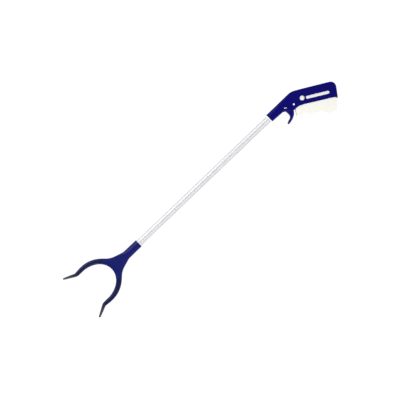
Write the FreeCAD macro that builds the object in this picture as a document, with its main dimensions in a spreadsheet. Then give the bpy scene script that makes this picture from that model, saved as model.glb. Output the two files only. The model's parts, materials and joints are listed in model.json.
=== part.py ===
"""A pick-up reacher: squeezing the trigger pushes a rod along the tube, and the rod closes two jaws.

Millimetres.  The reacher is drawn about its tube: X = 0 is the mouth of the jaw socket, +X runs
towards the handle, +Y is the side of the palm, and the halves of each housing meet on Z = 0.
At the end every piece is placed so that the origin is at the bottom centre of the whole reacher,
which lies on the flat side of its handle.
"""
import FreeCAD, Part
import os
from math import cos, pi, radians, sin, tan

import Sketcher

Vector = FreeCAD.Vector
Placement = FreeCAD.Placement
Rotation = FreeCAD.Rotation

DRIVING_DIMENSIONS = [
    # the tube and the rod in it
    ("tube_radius", 8.0),
    ("tube_wall", 1.0),
    ("tube_free_length", 417.1),
    ("flute_radius", 1.4),
    ("socket_depth", 32.0),
    ("sleeve_depth", 35.0),
    ("rod_radius", 2.0),
    ("roll_pin_radius", 0.75),
    ("running_gap", 0.05),
    # the handle
    ("handle_half", 13.0),
    ("sleeve_half", 11.0),
    ("shell_wall", 2.5),
    ("grip_angle", 30.0),
    ("grip_length", 103.6),
    ("grip_top", 31.8),
    ("pivot_along", 62.5),
    ("pivot_below", 15.8),
    ("pivot_radius", 2.25),
    ("pivot_half_length", 12.8),
    ("screw_radius", 1.5),
    ("screw_head_radius", 2.8),
    ("screw_boss_radius", 3.6),
    # the trigger
    ("trigger_half", 10.0),
    ("trigger_wall", 2.5),
    ("trigger_reach", 101.3),
    ("trigger_hub", 6.5),
    ("trigger_turn", 14.0),
    ("crank_radius", 15.8),
    ("crank_half", 3.0),
    ("crank_pin_radius", 1.5),
    # the jaws
    ("socket_radius", 10.2),
    ("housing_half", 9.8),
    ("housing_plate", 2.5),
    ("web_recess", 0.8),
    ("arm_half", 7.0),
    ("tip_half", 13.0),
    ("jaw_pivot_ahead", 79.5),
    ("jaw_pivot_side", 12.0),
    ("jaw_pivot_radius", 1.75),
    ("jaw_eye", 6.5),
    ("jaw_lobe", 2.7),
    ("jaw_turn", 30.0),
    ("jaw_crank_pin_radius", 1.25),
    ("crosshead_half", 1.5),
]

doc = FreeCAD.newDocument("reacher")
sheet = doc.addObject("Spreadsheet::Sheet", "Dimensions")
for row, (alias, value) in enumerate(DRIVING_DIMENSIONS, start=1):
    sheet.set(f"A{row}", alias)
    sheet.set(f"B{row}", str(value))
    sheet.setAlias(f"B{row}", alias)
doc.recompute()

pieces = []


def dim(alias):
    """The value of one driving dimension."""
    return float(sheet.get(alias))


def bind(thing, prop, expression):
    """Bind a property to the sheet; every alias in the expression is written as sheet.alias."""
    thing.setExpression(prop, expression.replace("sheet.", "Dimensions."))


# ---------------------------------------------------------------- positions

SLEEVE_MOUTH = dim("tube_free_length")
PIVOT_X = SLEEVE_MOUTH + dim("pivot_along")
PIVOT_Y = -dim("pivot_below")
GRIP = radians(dim("grip_angle"))
JAW_X = -dim("jaw_pivot_ahead")
JAW_Y = dim("jaw_pivot_side")

# Half of each crank's turn lies before its square position and half after it, so that rod, trigger
# and jaws keep a constant ratio to within a few hundredths of a millimetre.
TRIGGER_LEAN = radians(dim("trigger_turn")) / 2
JAW_LEAN = radians(dim("jaw_turn")) / 2
ROD_STROKE = 2 * dim("crank_radius") * sin(TRIGGER_LEAN)
JAW_CRANK = ROD_STROKE / (2 * sin(JAW_LEAN))
CRANK_X = PIVOT_X + dim("crank_radius") * sin(TRIGGER_LEAN)
CRANK_Y = PIVOT_Y + dim("crank_radius") * cos(TRIGGER_LEAN)
JAW_CRANK_X = JAW_X + JAW_CRANK * sin(JAW_LEAN)
JAW_CRANK_Y = JAW_Y + JAW_CRANK * cos(JAW_LEAN)

RIB_FRONT = SLEEVE_MOUTH + dim("sleeve_depth")
RIB_BACK = RIB_FRONT + 3.0
CLEVIS_FRONT = CRANK_X - 8.5
CLEVIS_BACK = CRANK_X + 4.0
CLEVIS_PIN_X = CLEVIS_FRONT + 1.5
HUB_FRONT = JAW_X + 9.5
HUB_LENGTH = 10.0
ROD_FRONT = HUB_FRONT + 2.0
ROD_BACK = CLEVIS_FRONT + 3.0
HUB_PIN_X = HUB_FRONT + 6.0


def grip(along, below, radius=0.0):
    """A corner given along the grip and below it, both counted from the trigger's pivot."""
    x = PIVOT_X + along * cos(GRIP) - below * sin(GRIP)
    y = PIVOT_Y - along * sin(GRIP) - below * cos(GRIP)
    return (x, y, radius)


def ahead(distance, side, radius=0.0):
    """A corner given ahead of the jaw socket's mouth and to its side."""
    return (-distance, side, radius)


def mirrored(corners):
    """The corners of half an outline, then the mirror images of those off the axis, backwards."""
    return corners + [(x, -y, radius) for x, y, radius in reversed(corners) if y]


# ---------------------------------------------------------------- outlines and sketches


def outline(corners):
    """Lines and tangent arcs through corners (x, y, radius), as a closed outline."""
    starts, ends, arcs = [], [], []
    for index, (x, y, radius) in enumerate(corners):
        before = corners[index - 1]
        after = corners[(index + 1) % len(corners)]
        back = Vector(before[0] - x, before[1] - y, 0).normalize()
        onward = Vector(after[0] - x, after[1] - y, 0).normalize()
        corner = Vector(x, y, 0)
        half_angle = back.getAngle(onward) / 2
        if radius <= 0 or abs(half_angle - pi / 2) < 1e-6:
            starts.append(corner)
            ends.append(corner)
            arcs.append(None)
            continue
        reach = radius / tan(half_angle)
        middle = (back + onward).normalize()
        centre = corner + middle * (radius / sin(half_angle))
        start = corner + back * reach
        end = corner + onward * reach
        starts.append(start)
        ends.append(end)
        arcs.append(Part.Arc(start, centre - middle * radius, end))
    edges = []
    for index, arc in enumerate(arcs):
        if arc:
            edges.append(arc)
        start = ends[index]
        end = starts[(index + 1) % len(arcs)]
        if start.distanceToPoint(end) > 1e-4:
            edges.append(Part.LineSegment(start, end))
    return edges


def new_body(name):
    """An empty PartDesign body that becomes the node of this name."""
    body = doc.addObject("PartDesign::Body", name)
    body.Label = name
    pieces.append(body)
    return body


def new_sketch(body, role, offset=None):
    """A sketch on one of the body's origin planes, moved along its normal by a sheet expression."""
    sketch = body.newObject("Sketcher::SketchObject", "Sketch")
    plane = next(item for item in body.Origin.OriginFeatures if item.Role == role)
    sketch.AttachmentSupport = [(plane, "")]
    sketch.MapMode = "FlatFace"
    if offset is not None:
        bind(sketch, "AttachmentOffset.Base.z", offset)
    return sketch


def outline_sketch(body, corners, role="XY_Plane", offset=None):
    """A sketch that holds one closed outline."""
    sketch = new_sketch(body, role, offset)
    sketch.addGeometry(outline(corners), False)
    return sketch


def circle_sketch(body, circles, role="XY_Plane", offset=None):
    """A sketch of circles (x, y, radius expression), each radius bound to the sheet."""
    sketch = new_sketch(body, role, offset)
    for x, y, radius in circles:
        value = float(sheet.evalExpression(radius.replace("sheet.", "")))
        circle = Part.Circle(Vector(x, y, 0), Vector(0, 0, 1), value)
        index = sketch.addGeometry(circle, False)
        number = sketch.addConstraint(Sketcher.Constraint("Radius", index, value))
        bind(sketch, f"Constraints[{number}]", radius)
    return sketch


def pad(body, sketch, length, symmetric=False, reverse=False):
    """Add material over the sketch."""
    feature = body.newObject("PartDesign::Pad", "Pad")
    feature.Profile = sketch
    feature.SideType = "Symmetric" if symmetric else "One side"
    feature.Reversed = reverse
    bind(feature, "Length", length)
    return feature


def pocket(body, sketch, length, symmetric=False, reverse=False):
    """Cut the sketch away, and check that the cut took something."""
    doc.recompute()
    before = body.Tip.Shape.Volume
    feature = body.newObject("PartDesign::Pocket", "Pocket")
    feature.Profile = sketch
    feature.SideType = "Symmetric" if symmetric else "One side"
    feature.Reversed = reverse
    bind(feature, "Length", length)
    doc.recompute()
    if feature.Shape.Volume > before - 0.01:
        raise RuntimeError(f"a pocket in {body.Label} cuts nothing")
    return feature


def round_bar(name, start, length, outer, inner=None):
    """A bar or ring along X, with its radii bound to the sheet."""
    body = new_body(name)
    circles = [(0, 0, outer)]
    if inner:
        circles.append((0, 0, inner))
    pad(body, circle_sketch(body, circles, "YZ_Plane", start), length)
    return body


def upright_pin(name, x, y, bottom, height, radius):
    """A pin along Z, with its radius and height bound to the sheet."""
    body = new_body(name)
    pad(body, circle_sketch(body, [(x, y, radius)], "XY_Plane", bottom), height)
    return body


def cylinder(radius, height, base, axis):
    """A Part cylinder that is one solid of a group."""
    solid = doc.addObject("Part::Cylinder", "Cylinder")
    bind(solid, "Radius", radius)
    bind(solid, "Height", height)
    solid.Placement = Placement(base, Rotation(Vector(0, 0, 1), axis))
    return solid


def group(name, solids):
    """Separate identical solids that share one node."""
    compound = doc.addObject("Part::Compound", name)
    compound.Links = solids
    compound.Label = name
    pieces.append(compound)
    return compound


# ---------------------------------------------------------------- the handle

HANDLE_OUTLINE = [
    (SLEEVE_MOUTH, 10.6, 1.0),
    (SLEEVE_MOUTH + 78.4, 10.6, 60.0),
    grip(dim("grip_length"), -dim("grip_top"), 14.5),
    grip(dim("grip_length"), 8.0, 1.2),
    grip(100.6, 8.0, 0.8),
    grip(100.6, 4.6, 0.8),
    grip(20.0, 4.2, 20.0),
    grip(3.0, 9.3, 5.0),
    (SLEEVE_MOUTH + 53.5, -26.6, 4.0),
    (SLEEVE_MOUTH + 47.5, -34.2, 8.0),
    (SLEEVE_MOUTH + 36.5, -39.0, 20.0),
    (SLEEVE_MOUTH + 23.2, -41.4, 2.0),
    (SLEEVE_MOUTH + 22.8, -36.6, 1.8),
    (SLEEVE_MOUTH + 29.5, -33.6, 6.0),
    (SLEEVE_MOUTH + 37.2, -31.8, 3.5),
    (SLEEVE_MOUTH + 39.2, -23.0, 20.0),
    (SLEEVE_MOUTH + 38.6, -13.6, 6.0),
    (SLEEVE_MOUTH + 26.0, -10.8, 20.0),
    (SLEEVE_MOUTH, -10.1, 1.0),
]

CAVITY_OUTLINE = [
    (RIB_BACK, 8.1, 1.0),
    (SLEEVE_MOUTH + 77.7, 8.1, 57.5),
    grip(101.65, -29.3, 12.0),
    grip(101.65, 14.0),
    grip(3.0, 14.0),
    (PIVOT_X - 7.1, PIVOT_Y - 6.2, 2.0),
    (PIVOT_X - 9.1, PIVOT_Y, 3.0),
    (PIVOT_X - 18.0, PIVOT_Y + 6.8, 4.0),
    (RIB_BACK, PIVOT_Y + 8.2, 1.0),
]

SHELL_SCREWS = [
    (SLEEVE_MOUTH + 46.5, -21.5),
    grip(40.0, -22.5)[:2],
    grip(76.0, -25.0)[:2],
]


def handle_shell(name, upper):
    """Half of the handle: a walled half with bosses, a bore for the tube and holes for the pivot."""
    down = not upper
    sign = "" if upper else "-"
    body = new_body(name)
    pad(body, outline_sketch(body, HANDLE_OUTLINE), "sheet.handle_half", reverse=down)
    taper_low = dim("sleeve_half")
    taper_high = dim("handle_half")
    slope = [
        (SLEEVE_MOUTH - 5, taper_low - 0.2, 0),
        (SLEEVE_MOUTH + 52, taper_high + 0.001, 0),
        (SLEEVE_MOUTH - 5, taper_high + 5, 0),
    ]
    if down:
        slope = [(x, -z, radius) for x, z, radius in slope]
    pocket(body, outline_sketch(body, slope, "XZ_Plane"), "200", symmetric=True)
    pocket(
        body,
        outline_sketch(body, CAVITY_OUTLINE),
        "sheet.handle_half - sheet.shell_wall",
        reverse=upper,
    )
    bosses = [(x, y, "sheet.screw_boss_radius") for x, y in SHELL_SCREWS[1:]]
    pad(body, circle_sketch(body, bosses), "sheet.handle_half - sheet.shell_wall / 2", reverse=down)
    tube_bore = circle_sketch(
        body, [(0, 0, "sheet.tube_radius")], "YZ_Plane", "sheet.tube_free_length - 1"
    )
    pocket(body, tube_bore, "sheet.sleeve_depth + 1", reverse=True)
    collar_seat = circle_sketch(
        body, [(0, 0, "sheet.tube_radius + 1")], "YZ_Plane", "sheet.tube_free_length - 1"
    )
    pocket(body, collar_seat, "8", reverse=True)
    rod_hole = circle_sketch(
        body, [(0, 0, "sheet.rod_radius + 0.3")], "YZ_Plane", "sheet.tube_free_length"
    )
    pocket(body, rod_hole, "sheet.sleeve_depth + 4", reverse=True)
    pivot_hole = circle_sketch(body, [(PIVOT_X, PIVOT_Y, "sheet.pivot_radius")])
    pocket(body, pivot_hole, "sheet.handle_half + 1", reverse=upper)
    if upper:
        pilots = [(x, y, "sheet.screw_radius") for x, y in SHELL_SCREWS]
        pocket(body, circle_sketch(body, pilots), "9", reverse=True)
    else:
        shanks = [(x, y, "sheet.screw_radius") for x, y in SHELL_SCREWS]
        pocket(body, circle_sketch(body, shanks), "sheet.handle_half + 1")
        heads = [(x, y, "sheet.screw_head_radius") for x, y in SHELL_SCREWS]
        seat = circle_sketch(body, heads, "XY_Plane", f"{sign}sheet.handle_half")
        pocket(body, seat, "3", reverse=True)
    return body


def shell_screws():
    """Three screws driven from the lower side."""
    screws = []
    for x, y in SHELL_SCREWS:
        head_top = -dim("handle_half") + 3.0
        head = cylinder(
            "sheet.screw_head_radius - 0.1", "2.2", Vector(x, y, head_top - 2.2), Vector(0, 0, 1)
        )
        shank = cylinder("sheet.screw_radius", "18", Vector(x, y, head_top), Vector(0, 0, 1))
        screw = doc.addObject("Part::Fuse", "Screw")
        screw.Base = head
        screw.Tool = shank
        screws.append(screw)
    return group("shell_screws", screws)


# ---------------------------------------------------------------- the trigger

REACH = dim("trigger_reach")
REAR_LOW = radians(18.4)
REAR_HIGH = radians(0.6)
REAR_MIDDLE = (REAR_LOW + REAR_HIGH) / 2
REAR_CORNER = REACH / cos(REAR_LOW - REAR_MIDDLE)

# The rear face is an arc about the pivot, so that it clears the shell as the trigger swings in.
TRIGGER_REAR = [
    grip(REACH * cos(REAR_LOW), REACH * sin(REAR_LOW)),
    grip(REAR_CORNER * cos(REAR_MIDDLE), REAR_CORNER * sin(REAR_MIDDLE), REACH - 0.1),
    grip(REACH * cos(REAR_HIGH), REACH * sin(REAR_HIGH)),
]

TRIGGER_OUTLINE = [
    grip(1.1, 8.0, 3.0),
    grip(1.1, 27.2, 3.5),
    grip(8.6, 27.8, 4.0),
    grip(21.8, 24.0, 16.0),
    grip(35.6, 34.0, 7.0),
    grip(57.0, 30.0, 24.0),
    grip(76.4, 39.8, 8.0),
    grip(93.4, 37.4, 5.0),
    *TRIGGER_REAR,
    grip(30.0, -1.0, 10.0),
    grip(9.0, -4.5, 3.0),
    grip(0.0, -5.0),
    grip(-4.8, 2.0),
]

TRIGGER_HOLLOW = [
    grip(13.0, -12.0),
    grip(13.0, 21.6, 3.0),
    grip(21.8, 21.0, 13.0),
    grip(35.6, 30.9, 5.0),
    grip(57.0, 27.0, 24.0),
    grip(76.4, 36.8, 6.0),
    grip(91.8, 34.6, 3.0),
    grip(98.4, 17.4),
    grip(98.7, -12.0),
]


def trigger():
    """The trigger: a hollow finger bar, open at its top, with a hub and a crank on it."""
    body = new_body("trigger")
    pad(body, outline_sketch(body, TRIGGER_OUTLINE), "2 * sheet.trigger_half", symmetric=True)
    hub = circle_sketch(body, [(PIVOT_X, PIVOT_Y, "sheet.trigger_hub")])
    pad(body, hub, "2 * sheet.trigger_half", symmetric=True)
    lean = Vector(sin(TRIGGER_LEAN), cos(TRIGGER_LEAN), 0)
    across = Vector(cos(TRIGGER_LEAN), -sin(TRIGGER_LEAN), 0) * dim("crank_half")
    pivot = Vector(PIVOT_X, PIVOT_Y, 0)
    crank_end = pivot + lean * (dim("crank_radius") + dim("crank_half"))
    crank = [
        (*(pivot - across)[:2], 0),
        (*(crank_end - across)[:2], dim("crank_half") - 0.01),
        (*(crank_end + across)[:2], dim("crank_half") - 0.01),
        (*(pivot + across)[:2], 0),
    ]
    pad(body, outline_sketch(body, crank), "2 * sheet.crank_half", symmetric=True)
    hollow = outline_sketch(body, TRIGGER_HOLLOW)
    pocket(body, hollow, "2 * (sheet.trigger_half - sheet.trigger_wall)", symmetric=True)
    bores = circle_sketch(
        body,
        [
            (PIVOT_X, PIVOT_Y, "sheet.pivot_radius + sheet.running_gap"),
            (CRANK_X, CRANK_Y, "sheet.crank_pin_radius"),
        ],
    )
    pocket(body, bores, "60", symmetric=True)
    return body


def rod_end_clevis():
    """The clevis on the rod's end, whose cheeks hold the crank pin in short upright slots."""
    body = new_body("rod_end_clevis")
    block = [
        (CLEVIS_FRONT, 5.0, 1.5),
        (CLEVIS_BACK, 5.0, 2.5),
        (CLEVIS_BACK, -5.0, 2.5),
        (CLEVIS_FRONT, -5.0, 1.5),
    ]
    pad(body, outline_sketch(body, block), "11.6", symmetric=True)
    gap = [
        (CLEVIS_FRONT + 3.0, 8.0, 0),
        (CLEVIS_BACK + 2.0, 8.0, 0),
        (CLEVIS_BACK + 2.0, -8.0, 0),
        (CLEVIS_FRONT + 3.0, -8.0, 0),
    ]
    pocket(body, outline_sketch(body, gap), "2 * sheet.crank_half + 0.6", symmetric=True)
    half = dim("crank_pin_radius") + 0.06
    rise = half + 0.3
    slot = [
        (CRANK_X - half, rise, half - 0.01),
        (CRANK_X + half, rise, half - 0.01),
        (CRANK_X + half, -rise, half - 0.01),
        (CRANK_X - half, -rise, half - 0.01),
    ]
    pocket(body, outline_sketch(body, slot), "20", symmetric=True)
    rod_bore = circle_sketch(
        body, [(0, 0, "sheet.rod_radius")], "YZ_Plane", "sheet.tube_free_length"
    )
    pocket(body, rod_bore, "100", reverse=True)
    roll_pin = circle_sketch(body, [(CLEVIS_PIN_X, 0, "sheet.roll_pin_radius")])
    pocket(body, roll_pin, "20", symmetric=True)
    return body


def return_spring():
    """The compression spring round the rod, between the rib's washer and the clevis."""
    wire_radius = 0.6
    coil_radius = 4.0
    seat_gap = 0.1
    start = RIB_BACK + 1.0 + wire_radius + seat_gap
    end = CLEVIS_FRONT - wire_radius - seat_gap
    turns = 6
    helix = doc.addObject("Part::Helix", "SpringHelix")
    helix.Radius = coil_radius
    helix.Height = end - start
    helix.Pitch = (end - start) / turns
    helix.Placement = Placement(Vector(start, 0, 0), Rotation(Vector(0, 0, 1), Vector(1, 0, 0)))
    doc.recompute()
    first = helix.Shape.Vertexes[0].Point
    section = doc.addObject("Part::Circle", "SpringWire")
    section.Radius = wire_radius
    tangent = helix.Shape.Edges[0].tangentAt(helix.Shape.Edges[0].FirstParameter)
    section.Placement = Placement(first, Rotation(Vector(0, 0, 1), tangent))
    spring = doc.addObject("Part::Sweep", "return_spring")
    spring.Sections = [section]
    spring.Spine = (helix, [])
    spring.Solid = True
    spring.Frenet = True
    spring.Label = "return_spring"
    pieces.append(spring)
    return spring


# ---------------------------------------------------------------- the tube and its rod


def tube():
    """The fluted tube, with four grooves along it."""
    body = new_body("tube")
    ring = circle_sketch(
        body,
        [(0, 0, "sheet.tube_radius"), (0, 0, "sheet.tube_radius - sheet.tube_wall")],
        "YZ_Plane",
        "-sheet.socket_depth",
    )
    length = "sheet.socket_depth + sheet.tube_free_length + sheet.sleeve_depth"
    pad(body, ring, length)
    reach = dim("tube_radius") + dim("flute_radius") - 0.45
    flutes = [
        (reach * cos(quarter * pi / 2), reach * sin(quarter * pi / 2), "sheet.flute_radius")
        for quarter in range(4)
    ]
    grooves = circle_sketch(body, flutes, "YZ_Plane", "-sheet.socket_depth")
    pocket(body, grooves, length, reverse=True)
    pin_holes = circle_sketch(body, [(x, 0, "sheet.screw_radius") for x in TUBE_PINS])
    pocket(body, pin_holes, "sheet.tube_radius + 1")
    return body


TUBE_PINS = [-16.0, SLEEVE_MOUTH + 22.0]


def tube_pin(name, x, outside):
    """A short pin from the lower side, through a housing's wall and the tube's wall."""
    return upright_pin(name, x, 0, f"-{outside}", f"{outside} - sheet.tube_radius + 2",
                       "sheet.screw_radius")


def push_rod():
    """The steel rod from the crosshead to the clevis, drilled across for the roll pins."""
    body = round_bar("push_rod", str(ROD_FRONT), str(ROD_BACK - ROD_FRONT), "sheet.rod_radius")
    pin_holes = [(x, 0, "sheet.roll_pin_radius") for x in (CLEVIS_PIN_X, HUB_PIN_X)]
    pocket(body, circle_sketch(body, pin_holes), "20", symmetric=True)
    return body


def rod_guides():
    """Four discs that keep the rod on the tube's axis."""
    discs = []
    for number in range(1, 5):
        base = Vector(number * SLEEVE_MOUTH / 5, 0, 0)
        disc = cylinder("sheet.tube_radius - sheet.tube_wall", "6", base, Vector(1, 0, 0))
        hole = cylinder("sheet.rod_radius + sheet.running_gap", "6", base, Vector(1, 0, 0))
        guide = doc.addObject("Part::Cut", "Guide")
        guide.Base = disc
        guide.Tool = hole
        discs.append(guide)
    return group("rod_guides", discs)


# ---------------------------------------------------------------- the jaws

HOUSING_OUTLINE = mirrored([
    ahead(34.0, 10.2),
    ahead(40.5, 10.2, 30.0),
    ahead(72.3, 20.05, 47.0),
    ahead(86.4, 33.6, 0.8),
    ahead(95.6, 24.4, 0.8),
    ahead(74.3, 0.0, 36.0),
])

HOUSING_CAVITY = mirrored([
    ahead(37.0, 8.4, 0.5),
    ahead(40.8, 8.4, 20.0),
    ahead(73.24, 18.46, 48.8),
    ahead(92.0, 36.5),
    ahead(105.0, 30.0),
])

WEB_OUTLINE = mirrored([
    ahead(44.0, 7.4, 3.0),
    ahead(73.6, 16.8, 48.0),
    ahead(87.4, 29.6, 1.0),
    ahead(91.4, 25.4, 1.0),
    ahead(69.0, 0.0, 37.0),
])

HOUSING_SCREWS = [(-60.0, 11.5), (-60.0, -11.5)]


def jaw_housing(name, upper):
    """Half of the jaw housing: a half-round socket that spreads into a plate with a rim."""
    down = not upper
    body = new_body(name)
    side = 1 if upper else -1
    half_disc = new_sketch(body, "YZ_Plane", "-36")
    radius = dim("socket_radius")
    half_disc.addGeometry([
        Part.Arc(Vector(radius, 0, 0), Vector(0, side * radius, 0), Vector(-radius, 0, 0)),
        Part.LineSegment(Vector(-radius, 0, 0), Vector(radius, 0, 0)),
    ], False)
    pad(body, half_disc, "36")
    pad(body, outline_sketch(body, HOUSING_OUTLINE), "sheet.housing_half", reverse=down)
    depth = "sheet.housing_half - sheet.housing_plate"
    pocket(body, outline_sketch(body, HOUSING_CAVITY), depth, reverse=upper)
    bosses = circle_sketch(body, [(x, y, "sheet.screw_boss_radius") for x, y in HOUSING_SCREWS])
    pad(body, bosses, "sheet.housing_half - sheet.housing_plate / 2", reverse=down)
    sign = "" if upper else "-"
    web = outline_sketch(body, WEB_OUTLINE, "XY_Plane", f"{sign}sheet.housing_half")
    pocket(body, web, "sheet.web_recess", reverse=down)
    bore = circle_sketch(body, [(0, 0, "sheet.tube_radius")], "YZ_Plane", "1")
    pocket(body, bore, "sheet.socket_depth + 1")
    rod_hole = circle_sketch(body, [(0, 0, "sheet.rod_radius + 0.3")], "YZ_Plane", "1")
    pocket(body, rod_hole, "sheet.socket_depth + 8")
    pins = [(JAW_X, side_of * JAW_Y, "sheet.jaw_pivot_radius") for side_of in (1, -1)]
    pocket(body, circle_sketch(body, pins), "sheet.housing_half - 1.2", reverse=upper)
    if upper:
        pilots = [(x, y, "sheet.screw_radius") for x, y in HOUSING_SCREWS]
        pocket(body, circle_sketch(body, pilots), "7", reverse=True)
    else:
        shanks = [(x, y, "sheet.screw_radius") for x, y in HOUSING_SCREWS]
        pocket(body, circle_sketch(body, shanks), "sheet.housing_half + 1")
        heads = [(x, y, "sheet.screw_head_radius") for x, y in HOUSING_SCREWS]
        pocket(body, circle_sketch(body, heads, "XY_Plane", "-sheet.housing_half"), "2.6",
               reverse=True)
        lock = circle_sketch(body, [(TUBE_PINS[0], 0, "sheet.screw_radius")])
        pocket(body, lock, "sheet.socket_radius + 1")
    return body


def housing_screws():
    """Two screws driven from the lower side."""
    screws = []
    for x, y in HOUSING_SCREWS:
        head_top = -dim("housing_half") + 2.6
        head = cylinder(
            "sheet.screw_head_radius - 0.1", "1.7", Vector(x, y, head_top - 1.7), Vector(0, 0, 1)
        )
        shank = cylinder("sheet.screw_radius", "13", Vector(x, y, head_top), Vector(0, 0, 1))
        screw = doc.addObject("Part::Fuse", "Screw")
        screw.Base = head
        screw.Tool = shank
        screws.append(screw)
    return group("housing_screws", screws)


def crosshead():
    """The plate on the rod's end: slots run past the jaws' pivot pins, and eyes take the crank pins."""
    body = new_body("crosshead")
    plate = mirrored([
        (JAW_X + 11.0, 6.0, 1.5),
        (JAW_X + 9.4, 13.0, 4.0),
        (JAW_CRANK_X + 3.0, JAW_CRANK_Y + 0.2, 2.5),
        (JAW_CRANK_X - 0.2, JAW_CRANK_Y + 3.0, 2.4),
        (JAW_CRANK_X - 2.9, JAW_CRANK_Y + 0.4, 2.0),
        (JAW_X - 3.4, JAW_Y + 2.8, 1.5),
        (JAW_X - 3.4, JAW_Y - 3.6, 1.5),
        (JAW_X + 3.0, 4.5, 2.0),
    ])
    pad(body, outline_sketch(body, plate), "2 * sheet.crosshead_half", symmetric=True)
    hub = circle_sketch(body, [(0, 0, "4")], "YZ_Plane", str(HUB_FRONT))
    pad(body, hub, str(HUB_LENGTH))
    bore = circle_sketch(body, [(0, 0, "sheet.rod_radius")], "YZ_Plane", str(ROD_FRONT))
    pocket(body, bore, "40", reverse=True)
    roll_pin = circle_sketch(body, [(HUB_PIN_X, 0, "sheet.roll_pin_radius")])
    pocket(body, roll_pin, "20", symmetric=True)
    for side in (1, -1):
        wide = dim("jaw_pivot_radius") + 0.3
        front = JAW_X - 0.3 - wide
        back = JAW_X + ROD_STROKE + 0.3 + wide
        guide = [
            (front, side * JAW_Y - wide, wide - 0.01),
            (back, side * JAW_Y - wide, wide - 0.01),
            (back, side * JAW_Y + wide, wide - 0.01),
            (front, side * JAW_Y + wide, wide - 0.01),
        ]
        pocket(body, outline_sketch(body, guide), "20", symmetric=True)
        half = dim("jaw_crank_pin_radius") + 0.06
        low = side * JAW_CRANK_Y - half - 0.1
        high = side * JAW_CRANK_Y + half + 0.1
        if side > 0:
            high += 0.3
        else:
            low -= 0.3
        eye = [
            (JAW_CRANK_X - half, low, half - 0.01),
            (JAW_CRANK_X + half, low, half - 0.01),
            (JAW_CRANK_X + half, high, half - 0.01),
            (JAW_CRANK_X - half, high, half - 0.01),
        ]
        pocket(body, outline_sketch(body, eye), "20", symmetric=True)
    return body


ARM_OUTLINE = [
    ahead(86.7, 33.9, 0.4),
    ahead(107.5, 53.2, 67.0),
    ahead(140.0, 53.2, 40.0),
    ahead(152.3, 51.9),
    ahead(151.2, 42.2),
    ahead(112.6, 42.0, 59.0),
    ahead(95.2, 24.1),
    ahead(84.5, 13.1),
    ahead(79.5, 12.0),
    ahead(77.2, 18.0),
    ahead(75.7, 20.8),
    ahead(80.6, 24.0, 4.0),
    ahead(84.9, 28.9, 4.0),
    ahead(88.2, 32.4),
]

SPUR_OUTLINE = [
    ahead(150.0, 50.0),
    ahead(158.5, 49.6),
    ahead(166.5, 53.4),
    ahead(167.8, 51.8),
    ahead(158.5, 46.6),
    ahead(150.0, 45.2),
]

TIP_OUTLINE = [
    ahead(151.2, 42.2),
    ahead(155.3, 42.2, 3.0),
    ahead(183.2, 58.3, 1.6),
    ahead(181.4, 62.5, 1.6),
    ahead(156.0, 51.7, 10.0),
    ahead(152.3, 51.9),
]


def on_side(corners, side):
    """An outline drawn for the +Y jaw, or its mirror image."""
    return [(x, side * y, radius) for x, y, radius in corners]


def jaw_arm(name, side):
    """A curved jaw arm with its eye, its forked crank end and the spur that holds the tip."""
    body = new_body(name)
    full = "2 * sheet.arm_half"
    pad(body, outline_sketch(body, on_side(ARM_OUTLINE, side)), full, symmetric=True)
    eyes = circle_sketch(body, [(JAW_X, side * JAW_Y, "sheet.jaw_eye")])
    pad(body, eyes, full, symmetric=True)
    lobe = circle_sketch(body, [(JAW_CRANK_X, side * JAW_CRANK_Y, "sheet.jaw_lobe")])
    pad(body, lobe, full, symmetric=True)
    pad(body, outline_sketch(body, on_side(SPUR_OUTLINE, side)), "10", symmetric=True)
    fork = on_side([
        (JAW_X + 12.0, 2.0, 0),
        (JAW_X + 12.0, 26.0, 0),
        (JAW_X - 2.0, 26.0, 0),
        (JAW_X - 8.8, 19.5, 2.0),
        (JAW_X - 8.8, 2.0, 0),
    ], side)
    pocket(body, outline_sketch(body, fork), "2 * sheet.crosshead_half + 0.6", symmetric=True)
    bores = circle_sketch(
        body,
        [
            (JAW_X, side * JAW_Y, "sheet.jaw_pivot_radius + sheet.running_gap"),
            (JAW_CRANK_X, side * JAW_CRANK_Y, "sheet.jaw_crank_pin_radius"),
        ],
    )
    pocket(body, bores, "60", symmetric=True)
    return body


def jaw_tip(name, side):
    """The wide gripping tip that is pushed over the arm's spur."""
    body = new_body(name)
    pad(body, outline_sketch(body, on_side(TIP_OUTLINE, side)), "2 * sheet.tip_half", symmetric=True)
    high = dim("tip_half") + 1
    low = dim("arm_half")
    for level in (1, -1):
        shoulder = [
            (-150.0, level * high, 0),
            (-150.0, level * (low - 0.2), 0),
            (-152.5, level * (low - 0.2), 2.0),
            (-166.0, level * high, 0),
        ]
        pocket(body, outline_sketch(body, shoulder, "XZ_Plane"), "200", symmetric=True)
    pocket(body, outline_sketch(body, on_side(SPUR_OUTLINE, side)), "10", symmetric=True)
    return body


# ---------------------------------------------------------------- the whole reacher

handle_shell("handle_shell_upper", True)
lower_shell = handle_shell("handle_shell_lower", False)
lock_hole = circle_sketch(lower_shell, [(TUBE_PINS[1], 0, "sheet.screw_radius")])
pocket(lower_shell, lock_hole, "sheet.sleeve_half + 3")
shell_screws()
trigger()
upright_pin("trigger_pivot_pin", PIVOT_X, PIVOT_Y, "-sheet.pivot_half_length",
            "2 * sheet.pivot_half_length", "sheet.pivot_radius")
upright_pin("crank_pin", CRANK_X, CRANK_Y, "-5.6", "11.2", "sheet.crank_pin_radius")
rod_end_clevis()
upright_pin("clevis_roll_pin", CLEVIS_PIN_X, 0, "-5", "10", "sheet.roll_pin_radius")
return_spring()
round_bar("spring_washer", "sheet.tube_free_length + sheet.sleeve_depth + 3", "1",
          "5.5", "sheet.rod_radius + 0.3")
collar = round_bar("tube_collar", "sheet.tube_free_length - 3", "3",
                   "sheet.tube_radius + 1.7", "sheet.tube_radius")
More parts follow.
